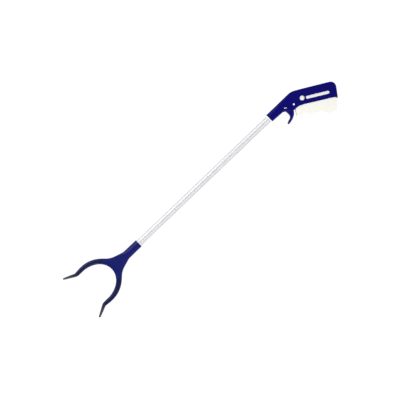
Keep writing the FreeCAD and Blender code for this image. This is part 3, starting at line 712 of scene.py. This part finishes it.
def make_handle(sizes, plastic):
    """Both shells of the handle: one solid, hollowed and bored, then parted on its seam."""
    whole = handle_solid()
    join_solids(whole, "DIFFERENCE", [handle_hollow()])
    bosses = [upright("boss", x, y, [-11.5, 11.5], [SCREW_BOSS] * 2) for x, y in SHELL_SCREWS[1:]]
    join_solids(whole, "UNION", bosses)
    join_solids(whole, "DIFFERENCE", [
        bored("bore", SLEEVE_MOUTH - 4, SLEEVE_MOUTH + 35.0, TUBE_BORE),
        bored("seat", SLEEVE_MOUTH - 4, SLEEVE_MOUTH + 7.0, TUBE_RADIUS + 1.02),
        bored("rod_hole", SLEEVE_MOUTH + 30, SLEEVE_MOUTH + 39.0, ROD_HOLE),
        drill("pivot_hole", *PIVOT, -20, 20, 2.3),
    ])
    upper, lower = halves(whole, "handle_side_upper", "handle_side_lower", sizes.seam / 2)
    for x, y in SHELL_SCREWS:
        join_solids(upper, "DIFFERENCE", [drill("pilot", x, y, -1, 9, SCREW_SHANK)])
        join_solids(lower, "DIFFERENCE", [screw_hole(x, y, -10.0)])
    join_solids(lower, "DIFFERENCE", [drill("lock", SLEEVE_MOUTH + 22, 0, -20, -6, LOCK_PIN)])
    finish_piece(upper, "frame", plastic, ["handle_shell_upper"])
    finish_piece(lower, "frame", plastic, ["handle_shell_lower"])


def edge_profile(half, radius, steps=6):
    """Rings (inset, height) up a slab's edge, its top and bottom rounded by quarter circles."""
    turn = np.linspace(0, math.pi / 2, steps)
    inset = radius * (1 - np.sin(turn))
    height = half - radius * (1 - np.cos(turn))
    lower = np.stack([inset, -height], axis=1)
    return np.vstack([lower, lower[::-1] * [1, -1]])


# ---------------------------------------------------------------- trigger


def make_trigger(sizes, plastic):
    """The white trigger: a scalloped finger bar, open at its top, with a hub and a crank on it."""
    reach = 101.0
    low, high = math.radians(18.4), math.radians(0.6)
    middle = (low + high) / 2
    far = reach / math.cos(low - middle)
    rear = [
        (*grip(reach * math.cos(low), reach * math.sin(low)), 3.0),
        (*grip(far * math.cos(middle), far * math.sin(middle)), 80.0),
        (*grip(reach * math.cos(high), reach * math.sin(high)), 3.0),
    ]
    corners = [
        (*grip(1.1, 2.0), 3.2), (*grip(1.1, 27.2), 3.5), (*grip(8.6, 27.8), 4.0),
        (*grip(21.8, 24.0), 16.0), (*grip(35.6, 34.0), 7.0), (*grip(57.0, 30.0), 24.0),
        (*grip(76.4, 39.8), 8.0), (*grip(93.4, 37.4), 5.0), *rear, (*grip(30.0, -1.0), 10.0),
        (*grip(9.0, -4.5), 3.2),
    ]
    bar_half = 10.0
    trigger = slab("trigger_lever", rounded_outline(corners),
                   edge_profile(bar_half, sizes.trigger_edge))
    hub = upright("hub", *PIVOT, [-10.0, -9.4, 9.4, 10.0], [5.9, 6.5, 6.5, 5.9])
    crank_top = PIVOT[1] + 18.4
    crank = prism("crank", [
        (PIVOT[0] - 3.0, PIVOT[1], 0), (PIVOT[0] + 3.0, PIVOT[1], 0),
        (PIVOT[0] + 4.9, crank_top, 2.6), (PIVOT[0] - 1.1, crank_top, 2.6)], -3.0, 3.0)
    join_solids(trigger, "UNION", [hub])
    hollow = prism("hollow", [
        (*grip(13.0, -12.0), 0), (*grip(13.0, 21.6), 3.0), (*grip(21.8, 21.0), 13.0),
        (*grip(35.6, 30.9), 5.0), (*grip(57.0, 27.0), 24.0), (*grip(76.4, 36.8), 6.0),
        (*grip(91.8, 34.6), 3.0), (*grip(98.2, 17.4), 0), (*grip(98.4, -12.0), 0)], -7.5, 7.5)
    join_solids(trigger, "DIFFERENCE", [hollow])
    join_solids(trigger, "UNION", [crank])
    crank_pin = (frame_box("crank_pin")[0] + frame_box("crank_pin")[1]) / 2
    join_solids(trigger, "DIFFERENCE", [
        drill("pivot_bore", *PIVOT, -20, 20, 2.35),
        drill("pin_bore", crank_pin[0], crank_pin[1] - AXIS_Y, -20, 20, 1.5)])
    finish_piece(trigger, "trigger", plastic, ["trigger"])


def make_pivot_pin(plastic):
    """The trigger's pivot pin, with a low dome at each end."""
    turn = np.linspace(0, math.pi / 2, 7)
    dome = 12.65 + 0.33 * np.sin(turn)
    radius = 2.25 * np.cos(turn)
    heights = np.concatenate([-dome[::-1], dome])
    radii = np.maximum(np.concatenate([radius[::-1], radius]), 0.05)
    pin = upright("pivot_pin_domed", *PIVOT, heights, radii)
    finish_piece(pin, "frame", plastic, ["trigger_pivot_pin"])


# Each mark's name, its lower and upper edge across the grip, and its start and end along it.
SIDE_PRINTS_AND_HIGHLIGHT = [
    ("side_print_dot", -15.2, -4.6, 16.5, 27.2),
    ("side_print_bar", -11.8, -5.2, 30.5, 86.0),
    # The dash is no print: it is a painted highlight, a white mark on the shell above the hook's
    # notch.
    ("painted_highlight_dash", 2.8, 4.2, -24.6, -18.0),
]


def make_side_bars(plastic):
    """A plain dot and bar printed on the upper side of the handle, and a white dash as a painted
    highlight.
    """
    for name, low, high, start, end in SIDE_PRINTS_AND_HIGHLIGHT:
        radius = (high - low) / 2 - 0.02
        print_and_highlight_bar = slab(name, rounded_outline([
            (*grip(start, low), radius), (*grip(end, low), radius),
            (*grip(end, high), radius), (*grip(start, high), radius)], 0.5),
            [(0, HANDLE_SIDE - 0.2), (0, HANDLE_SIDE + 0.06), (0.06, HANDLE_SIDE + 0.1)])
        finish_piece(print_and_highlight_bar, "frame", plastic)


# ---------------------------------------------------------------- tube


def fluted_ring(radius, depth, around=192):
    """A ring about the axis with four shallow flutes: the radius dips by the depth, as a bell curve
    of the distance along the ring from each quarter."""
    angle = np.linspace(0, 2 * math.pi, around, endpoint=False)
    off = (angle + math.pi / 4) % (math.pi / 2) - math.pi / 4
    dipped = radius - depth * np.exp(-((off * radius / 0.85) ** 2))
    return np.stack([dipped * np.cos(angle), dipped * np.sin(angle)], axis=1)


def pipe(name, stations, loops):
    """A closed tube wall: the loops, outer then inner, carried between stations and joined up."""
    rings = [np.column_stack([np.full(len(loop), x), loop]) for x, loop in zip(stations, loops)]
    rings = np.stack(rings + [rings[0]])
    count, around = rings.shape[:2]
    points = rings[:-1].reshape(-1, 3)
    faces = (np.array(grid_faces(count, around)) % len(points)).tolist()
    return make_mesh(name, points, faces)


def make_tube(sizes, metal):
    """The fluted tube, and how much painted shade each point of it gets: by the depth of its flutes
    there, and down both sides by a band that fades with the height above and below the axis."""
    outer = fluted_ring(TUBE_RADIUS, sizes.flute_depth)
    inner = fluted_ring(TUBE_RADIUS - TUBE_WALL, sizes.flute_depth)
    low, high = TUBE_LOW[0], TUBE_HIGH[0]
    stations = [*np.linspace(low, high, 9), high, low]
    tube = pipe("fluted_tube", stations, [outer] * 9 + [inner, inner])
    # Painted shade: darker in each flute by its depth, and down both sides of the tube by a band
    # about the axis.
    sunk = (TUBE_RADIUS - np.linalg.norm(outer, axis=1)) / sizes.flute_depth
    side_shade_band = np.exp(-((outer[:, 1] / 5.0) ** 4))
    dull = np.maximum(0.7 * sunk, side_shade_band)
    tube.data.attributes.new("painted_shade_mask", "FLOAT", "POINT").data.foreach_set(
        "value", np.tile(dull, len(stations)))
    finish_piece(tube, "frame", metal, ["tube"])


def make_collar(plastic):
    """The white collar where the tube enters the handle."""
    start = SLEEVE_MOUTH - 3.0
    collar = turned("collar_ring", start + np.array([0, 0.15, 0.5, 2.6, 3.0, 3.0, 9.4]),
                    [9.0, 9.4, 9.7, 9.9, 9.8, 8.98, 8.98])
    join_solids(collar, "DIFFERENCE", [bored("bore", start - 2, start + 12, TUBE_BORE)])
    finish_piece(collar, "frame", plastic, ["tube_collar"])


def make_spring(steel):
    """The return spring round the rod: a wire carried along a helix whose end coils lie close.

    The wire's centre turns at an even rate and moves along the axis at 1 - cos / 2 of its mean
    rate.
    """
    low, high = frame_box("return_spring")
    wire, coil, turns, steps, around = 0.6, 4.0, 6.0, 360, 12
    start, end = low[0] + wire, high[0] - wire
    share = np.linspace(0, 1, steps)
    along = start + (end - start) * (share - np.sin(2 * math.pi * share) / (4 * math.pi))
    turn = 2 * math.pi * turns * share
    centre = np.stack([along, coil * np.cos(turn), coil * np.sin(turn)], axis=1)
    out = np.stack([np.zeros(steps), np.cos(turn), np.sin(turn)], axis=1)
    angle = np.linspace(0, 2 * math.pi, around, endpoint=False)
    rings = (centre[:, None] + wire * np.cos(angle)[:, None] * out[:, None]
             - wire * np.sin(angle)[:, None] * np.array([1.0, 0, 0]))
    spring = ringed("return_spring_coil", rings)
    finish_piece(spring, None, steel, ["return_spring"])
    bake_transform(spring)


# ---------------------------------------------------------------- jaws


def arc(centre, radius, start, end, count=24):
    """Points (ahead, side) on an arc; its angles run from straight ahead towards the side."""
    turn = np.radians(np.linspace(start, end, count))
    return [(centre[0] - radius * math.cos(a), centre[1] + radius * math.sin(a)) for a in turn]


def both_sides(corners):
    """The corners of half an outline, then their mirror images, backwards."""
    return corners + [(x, -y, radius) for x, y, radius in reversed(corners) if y]


def make_housing(sizes, plastic):
    """Both halves of the jaw housing: a round socket that spreads into a rimmed, forked plate."""
    count = 80
    flank = [ahead(0.9, 9.95), ahead(34.0, 10.2),
             *bend(ahead(34.0, 10.2), ahead(40.5, 10.2), ahead(72.3, 20.05), 30.0),
             *bend(ahead(40.5, 10.2), ahead(72.3, 20.05), ahead(86.4, 33.6), 47.0),
             ahead(94.0, 41.0)]
    flank = evenly(flank, count)
    along = SOCKET_MOUTH - flank[:, 0]
    height = np.interp(along, [0, 34, 56], [9.95, SOCKET_HALF, HOUSING_HALF])
    square = np.interp(along, [0, 30, 44, 66], [2.0, 2.0, 3.4, 14.0])
    socket = bar("jaw_housing", flank, flank * [1, -1], height, square, end_round=(0.9, 0),
                 around=112)
    edge = slab("edge", rounded_outline(both_sides([
        (*ahead(-3.0, 62.0), 4.0), (*ahead(58.0, 62.0), 4.0), (*ahead(95.6, 24.4), 1.9),
        (*ahead(75.0, 0.0), 35.0)])), edge_profile(HOUSING_HALF + 0.5, sizes.housing_edge + 0.3))
    join_solids(socket, "INTERSECT", [edge])
    plan = rounded_outline(both_sides([
        (*ahead(44.0, 7.4), 3.0), (*ahead(73.6, 16.8), 48.0), (*ahead(87.4, 29.6), 1.6),
        (*ahead(91.4, 25.4), 1.6), (*ahead(69.0, 0.0), 35.5)]), 0.8)
    floor = HOUSING_HALF - sizes.web_recess
    for side in (1, -1):
        web = slab("web", plan, [(0.9, side * floor), (0.5, side * (floor + 0.1)),
                                 (-0.1, side * HOUSING_HALF), (-0.9, side * 14)][::side])
        join_solids(socket, "DIFFERENCE", [web])
    half_space = 7.3
    space = prism("space", both_sides([
        (*ahead(37.0, 8.4), 0.5), (*ahead(40.8, 8.4), 20.0), (*ahead(73.24, 18.46), 48.8),
        (*ahead(92.0, 36.5), 0), (*ahead(105.0, 30.0), 0)]), -half_space, half_space)
    join_solids(socket, "DIFFERENCE", [space])
    screws = [ahead(60.0, 11.5), ahead(60.0, -11.5)]
    join_solids(socket, "UNION", [
        upright("boss", x, y, [-8, 8], [SCREW_BOSS] * 2) for x, y in screws])
    pins = [(JAW_PIVOT[0], side * JAW_PIVOT[1]) for side in (1, -1)]
    join_solids(socket, "DIFFERENCE", [
        bored("bore", SOCKET_MOUTH + 4, SOCKET_MOUTH - 32.0, TUBE_BORE),
        bored("rod_hole", SOCKET_MOUTH - 30, SOCKET_MOUTH - 38.0, ROD_HOLE),
        *[drill("pin", x, y, -8.6, 8.6, 1.75) for x, y in pins]])
    upper, lower = halves(socket, "jaw_housing_top", "jaw_housing_bottom", sizes.seam / 2)
    for x, y in screws:
        join_solids(upper, "DIFFERENCE", [drill("pilot", x, y, -1, 7, SCREW_SHANK)])
        join_solids(lower, "DIFFERENCE", [screw_hole(x, y, -7.2)])
    join_solids(lower, "DIFFERENCE", [drill("lock", SOCKET_MOUTH - 16, 0, -20, -6, LOCK_PIN)])
    finish_piece(upper, "frame", plastic, ["jaw_housing_upper"])
    finish_piece(lower, "frame", plastic, ["jaw_housing_lower"])


def jaw_points(points, side):
    """Plan points from (ahead, side) pairs drawn for the left jaw, or their mirror images."""
    return [ahead(point[0], side * point[1]) + tuple(point[2:]) for point in points]


def make_arm(name, side, plastic):
    """A curved jaw arm with a crowned section, its forked root and its eye."""
    outer = arc((134.0, -14.8), 68.0, 45.9, 90.0) + [(140.0, 53.2), (152.3, 51.9)]
    inner = arc((138.0, -18.1), 60.0, 44.6, 90.0) + [(144.0, 41.9), (151.2, 42.2)]
    count = 64
    step = np.linspace(0, 1, count)
    square = 2.5 + 2.5 * np.exp(-((step / 0.08) ** 2)) + 2.0 * np.exp(-(((1 - step) / 0.05) ** 2))
    arm = bar(name, evenly(jaw_points(outer, side), count), evenly(jaw_points(inner, side), count),
              ARM_HALF, square, end_round=(0.4, 0.3))
    root = prism("root", jaw_points([
        (88.2, 32.4, 0), (84.9, 28.9, 4.0), (80.6, 24.0, 4.0), (75.7, 20.8, 0), (77.2, 18.0, 0),
        (79.5, 12.0, 0), (84.5, 13.1, 0), (95.2, 24.1, 0), (96.6, 26.9, 0), (89.6, 33.8, 0)], side),
        -6.6, 6.6)
    pin_low, pin_high = frame_box("jaw_crank_pin_left" if side > 0 else "jaw_crank_pin_right")
    pin = (pin_low + pin_high)[:2] / 2 - [0, AXIS_Y]
    pivot = (JAW_PIVOT[0], side * JAW_PIVOT[1])
    join_solids(arm, "UNION", [
        root, upright("eye", *pivot, [-7, -6.6, 6.6, 7], [6.1, 6.5, 6.5, 6.1]),
        upright("lobe", *pin, [-7, 7], [2.7, 2.7])])
    hinge = np.array(JAW_PIVOT)
    fork = [(hinge[0] + 12.0, 2.0), (hinge[0] + 12.0, 26.0), (hinge[0] - 2.0, 26.0),
            (hinge[0] - 8.8, 19.5), (hinge[0] - 8.8, 2.0)]
    join_solids(arm, "DIFFERENCE", [
        prism("fork", [(x, side * y, 0) for x, y in fork], -1.8, 1.8),
        drill("pivot_bore", *pivot, -20, 20, 1.8), drill("pin_bore", *pin, -20, 20, 1.25)])
    word = "left" if side > 0 else "right"
    finish_piece(arm, f"jaw_{word}", plastic, [f"jaw_arm_{word}"])


def make_tip(name, side, rubber):
    """A gripping tip, which widens from the arm's end to its full height and thins to its edge."""
    count = 40
    inner = smooth_curve(jaw_points([
        (151.25, 42.3), (154.6, 42.6), (158.5, 44.2), (170.0, 50.8), (182.3, 57.9)], side), count)
    outer = smooth_curve(jaw_points([
        (152.35, 51.8), (155.6, 51.9), (160.0, 53.5), (170.0, 57.7), (180.9, 62.2)], side), count)
    along = SOCKET_MOUTH - inner[:, 0]
    spread = np.clip((along - 152.0) / 14.0, 0, 1)
    half = 6.9 + (TIP_HALF - 6.9) * spread**2 * (3 - 2 * spread)
    tip = bar(name, inner, outer, half, 2.8 + 3.0 * spread, end_round=(0.3, 1.3))
    word = "left" if side > 0 else "right"
    finish_piece(tip, f"jaw_{word}", rubber, [f"jaw_tip_{word}"])


# ---------------------------------------------------------------- what the panel offers


def length(name, text, default, low, high):
    """A size in millimetres that a user may change."""
    return FloatProperty(name=name, description=text, default=default, min=low, max=high)


def paint(name, text, hex_colour):
    """An sRGB colour that a user may change."""
    parts = [(hex_colour >> shift & 255) / 255 for shift in (16, 8, 0)]
    return FloatVectorProperty(name=name, description=text, default=parts, min=0, max=1, size=3,
                               subtype="COLOR_GAMMA")


class ReacherSizes(bpy.types.PropertyGroup):
    """Sizes of the visible finish, in millimetres."""

    seam: length("Seam", "Open width of the line where two halves part", 0.24, 0.05, 1.0)
    trigger_edge: length("Trigger edge", "Rounding of the trigger's edges", 2.9, 0.5, 3.0)
    flute_depth: length("Flute depth", "Depth of the tube's four flutes", 0.45, 0.1, 0.7)
    housing_edge: length("Housing edge", "Rounding of the jaw housing's rim", 1.5, 0.3, 1.8)
    web_recess: length("Web recess", "Depth of the housing's flat web below its rim", 0.8, 0.2, 1.5)


class ReacherColours(bpy.types.PropertyGroup):
    """Colours of the finishes, as sRGB."""

    handle: paint("Handle", "Moulded handle", 0x0E0B6C)
    socket: paint("Jaw housing", "Moulded jaw housing", 0x1A206A)
    arms: paint("Jaw arms", "Moulded jaw arms", 0x171A4C)
    tips: paint("Tips", "Rubber tips", 0x1C1E36)
    tips_paler_end: paint("Tips, rubbed", "Rubbed end of the rubber tips", 0x7C7C84)
    # The white also colours the dash of painted highlight on the handle.
    white: paint("White parts", "Trigger, collar, pivot pin and printed bars", 0xF7F7EF)
    aluminium: paint("Tube", "Anodised aluminium tube", 0xECECED)
    steel: paint("Steel", "Rod, spring, pins and screws", 0xB9BBC0)
    floor: paint("Floor", "Studio floor", 0xFAFAFA)


class ReacherStage(bpy.types.PropertyGroup):
    """Studio light and camera."""

    view_width: FloatProperty(name="View width", description="Width of the view at the reacher",
                              default=0.9244, min=0.2, max=3, subtype="DISTANCE", unit="LENGTH")
    view_height: FloatProperty(name="Camera height", description="Camera above the floor",
                               default=3.013, min=0.5, max=10, subtype="DISTANCE", unit="LENGTH")
    turn: FloatProperty(name="Turn", description="Turn of the camera about its line of sight",
                        default=math.radians(-43.72), subtype="ANGLE", unit="ROTATION")
    key_power: FloatProperty(name="Key light", description="Power of the key light",
                             default=56.0, min=0, max=1000, subtype="POWER", unit="POWER")
    fill_power: FloatProperty(name="Fill lights", description="Power of each fill light",
                              default=40.0, min=0, max=1000, subtype="POWER", unit="POWER")
    table_glow: FloatProperty(name="Table glow", description="Light that the table gives off",
                              default=1.0, min=0, max=2)


class REACHER_OT_stage(bpy.types.Operator):
    """Set up the floor, the lights and the camera"""

    bl_idname = "reacher.stage"
    bl_label = "Stage"

    def execute(self, context):
        make_stage(context.scene.reacher_stage, context.scene.reacher_colours)
        return {"FINISHED"}


def area_light(name, power, size, place_at, aim):
    """A soft square light that faces a point."""
    lamp = bpy.data.lights.new(name, "AREA")
    lamp.shape = "SQUARE"
    lamp.size = size
    lamp.energy = power
    light = bpy.data.objects.new(name, lamp)
    light.location = place_at
    away = np.array(place_at) - np.array(aim)
    flat = math.hypot(away[0], away[1])
    light.rotation_euler = (math.atan2(flat, away[2]), 0, math.atan2(away[0], -away[1]))
    bpy.context.scene.collection.objects.link(light)


def make_stage(stage, colours):
    """A glowing table as floor, a key light from the upper left, two fills and the camera."""
    scene = bpy.context.scene
    scene.view_settings.view_transform = "Standard"
    aim = np.array([-27.19, -9.40, 13.0]) * MM
    sensor = 36.0
    lens = bpy.data.cameras.new("camera")
    lens.sensor_width = sensor
    lens.lens = sensor * (stage.view_height - aim[2]) / stage.view_width
    lens.clip_start, lens.clip_end = 0.05, 30.0
    camera = bpy.data.objects.new("camera", lens)
    camera.location = (aim[0], aim[1], stage.view_height)
    camera.rotation_euler = (0, 0, stage.turn)
    scene.collection.objects.link(camera)
    scene.camera = camera
    right = np.array([math.cos(stage.turn), math.sin(stage.turn), 0])
    up = np.array([-right[1], right[0], 0])
    lamp_size = 1.6
    key_at = aim + 2.2 * (0.55 * up - 0.75 * right) + [0, 0, 1.5]
    area_light("key", stage.key_power, lamp_size, key_at, aim)
    area_light("fill_right", stage.fill_power, lamp_size, aim + 2.4 * right + [0, 0, 1.2], aim)
    area_light("fill_low", stage.fill_power, lamp_size, aim - 2.4 * up + [0, 0, 1.2], aim)
    world = bpy.data.worlds.new("studio")
    world.use_nodes = True
    background = world.node_tree.nodes["Background"]
    background.inputs["Color"].default_value = linear(0xFFFFFF)
    background.inputs["Strength"].default_value = 0.18
    scene.world = world
    half = 4.0
    mesh = bpy.data.meshes.new("floor")
    mesh.from_pydata([(-half, -half, 0), (half, -half, 0), (half, half, 0), (-half, half, 0)], [],
                     [(0, 1, 2, 3)])
    floor = bpy.data.objects.new("floor", mesh)
    mesh.materials.append(glowing_table("opal_light_table", hex_of(colours.floor), 0x707074,
                                        stage.table_glow))
    scene.collection.objects.link(floor)


class REACHER_OT_handle(bpy.types.Operator):
    """Build both moulded shells of the handle"""

    bl_idname = "reacher.handle"
    bl_label = "Handle"

    def execute(self, context):
        colour = hex_of(context.scene.reacher_colours.handle)
        make_handle(context.scene.reacher_sizes, moulded_plastic(
            "abs_handle_blue", colour, blended(colour, 0x000000, 0.10), 0.05, 0.38, 0.9, 0.03))
        return {"FINISHED"}


class REACHER_OT_trigger(bpy.types.Operator):
    """Build the trigger and its pivot pin"""

    bl_idname = "reacher.trigger"
    bl_label = "Trigger"

    def execute(self, context):
        colour = hex_of(context.scene.reacher_colours.white)
        plastic = moulded_plastic("abs_warm_white", colour, blended(colour, 0xC8C4B8, 0.12),
                                  0.4, 0.38, 0.9, 0.03)
        make_trigger(context.scene.reacher_sizes, plastic)
        make_pivot_pin(plastic)
        return {"FINISHED"}


class REACHER_OT_side_bars(bpy.types.Operator):
    """Print a plain dot and bar on the side of the handle, and add a white dash as a painted
    highlight
    """

    bl_idname = "reacher.side_bars"
    bl_label = "Side bars"

    def execute(self, context):
        colour = hex_of(context.scene.reacher_colours.white)
        make_side_bars(moulded_plastic("print_and_painted_highlight_white", colour, blended(colour, 0x8080A0, 0.25),
                                       0.3, 0.5, 0.5, 0.02))
        return {"FINISHED"}


class REACHER_OT_tube(bpy.types.Operator):
    """Build the fluted tube and the collar at the handle"""

    bl_idname = "reacher.tube"
    bl_label = "Tube"

    def execute(self, context):
        colours = context.scene.reacher_colours
        metal = hex_of(colours.aluminium)
        make_tube(context.scene.reacher_sizes, drawn_aluminium(
            "anodised_aluminium", metal, blended(metal, 0x9A9CA4, 0.2),
            blended(metal, 0x787A84, 0.55)))
        white = hex_of(colours.white)
        make_collar(moulded_plastic("nylon_collar_white", white, blended(white, 0xB8B8C0, 0.15),
                                    0.4, 0.4, 0.9, 0.02))
        return {"FINISHED"}


class REACHER_OT_housing(bpy.types.Operator):
    """Build both halves of the jaw housing"""

    bl_idname = "reacher.housing"
    bl_label = "Jaw housing"

    def execute(self, context):
        colour = hex_of(context.scene.reacher_colours.socket)
        make_housing(context.scene.reacher_sizes, moulded_plastic(
            "abs_housing_blue", colour, blended(colour, 0x101030, 0.18), 0.08, 0.34, 0.9, 0.03))
        return {"FINISHED"}


class REACHER_OT_arms(bpy.types.Operator):
    """Build both curved jaw arms"""

    bl_idname = "reacher.arms"
    bl_label = "Jaw arms"

    def execute(self, context):
        colour = hex_of(context.scene.reacher_colours.arms)
        plastic = moulded_plastic("abs_arm_blue", colour, blended(colour, 0x14142C, 0.2),
                                  0.15, 0.32, 0.8, 0.04)
        make_arm("jaw_arm_curved_left", 1, plastic)
        make_arm("jaw_arm_curved_right", -1, plastic)
        return {"FINISHED"}


class REACHER_OT_tips(bpy.types.Operator):
    """Build both rubber tips"""

    bl_idname = "reacher.tips"
    bl_label = "Tips"

    def execute(self, context):
        colours = context.scene.reacher_colours
        far_end = frame_box("jaw_tip_left")[0][0]
        rubber = moulded_rubber("tpe_tip_rubber", hex_of(colours.tips), hex_of(colours.tips_paler_end),
                                far_end)
        make_tip("grip_tip_left", 1, rubber)
        make_tip("grip_tip_right", -1, rubber)
        return {"FINISHED"}


STEEL_PARTS = ["shell_screws", "sleeve_lock_pin", "socket_lock_pin", "push_rod", "spring_washer",
               "housing_screws", "jaw_pivot_pins", "crank_pin", "clevis_roll_pin", "crosshead",
               "crosshead_roll_pin", "jaw_crank_pin_left", "jaw_crank_pin_right"]
NYLON_PARTS = ["rod_guides", "jaw_end_bush", "rod_end_clevis"]


class REACHER_OT_inner_parts(bpy.types.Operator):
    """Build the return spring, and finish the rod, pins, screws and guides"""

    bl_idname = "reacher.inner_parts"
    bl_label = "Inner parts"

    def execute(self, context):
        colours = context.scene.reacher_colours
        steel = turned_steel("zinc_plated_steel", hex_of(colours.steel), 0.7)
        make_spring(steel)
        white = hex_of(colours.white)
        nylon = moulded_plastic("nylon_guides", blended(white, 0xC0BCA8, 0.4),
                                blended(white, 0x908C78, 0.4), 0.4, 0.45, 0.8, 0.03)
        for names, material in ((STEEL_PARTS, steel), (NYLON_PARTS, nylon)):
            for name in names:
                mesh = frame["nodes"][name].data
                mesh.materials.clear()
                mesh.materials.append(material)
        return {"FINISHED"}


STEPS = ["stage", "handle", "trigger", "side_bars", "tube", "housing", "arms", "tips",
         "inner_parts"]


class REACHER_PT_panel(bpy.types.Panel):
    """The reacher's pieces and their settings"""

    bl_idname = "REACHER_PT_panel"
    bl_label = "Pick-up Reacher"
    bl_space_type = "VIEW_3D"
    bl_region_type = "UI"
    bl_category = "Reacher"

    def draw(self, context):
        layout = self.layout
        for step in STEPS:
            layout.operator(f"reacher.{step}")
        for group in ("reacher_sizes", "reacher_colours", "reacher_stage"):
            settings = getattr(context.scene, group)
            box = layout.box()
            for name in settings.__annotations__:
                box.prop(settings, name)


GROUPS = {"reacher_sizes": ReacherSizes, "reacher_colours": ReacherColours,
          "reacher_stage": ReacherStage}
CLASSES = [*GROUPS.values(), REACHER_OT_stage, REACHER_OT_handle, REACHER_OT_trigger,
           REACHER_OT_side_bars, REACHER_OT_tube, REACHER_OT_housing, REACHER_OT_arms,
           REACHER_OT_tips, REACHER_OT_inner_parts, REACHER_PT_panel]


def register():
    """Make the classes known, and hang the settings on the scene."""
    for item in CLASSES:
        bpy.utils.register_class(item)
    for name, group in GROUPS.items():
        setattr(bpy.types.Scene, name, PointerProperty(type=group))


def unregister():
    """Take the settings and the classes away again."""
    for name in GROUPS:
        delattr(bpy.types.Scene, name)
    for item in reversed(CLASSES):
        bpy.utils.unregister_class(item)


def main():
    """Build everything in order."""
    register()
    for step in STEPS:
        getattr(bpy.ops.reacher, step)()


if __name__ == "__main__":
    main()
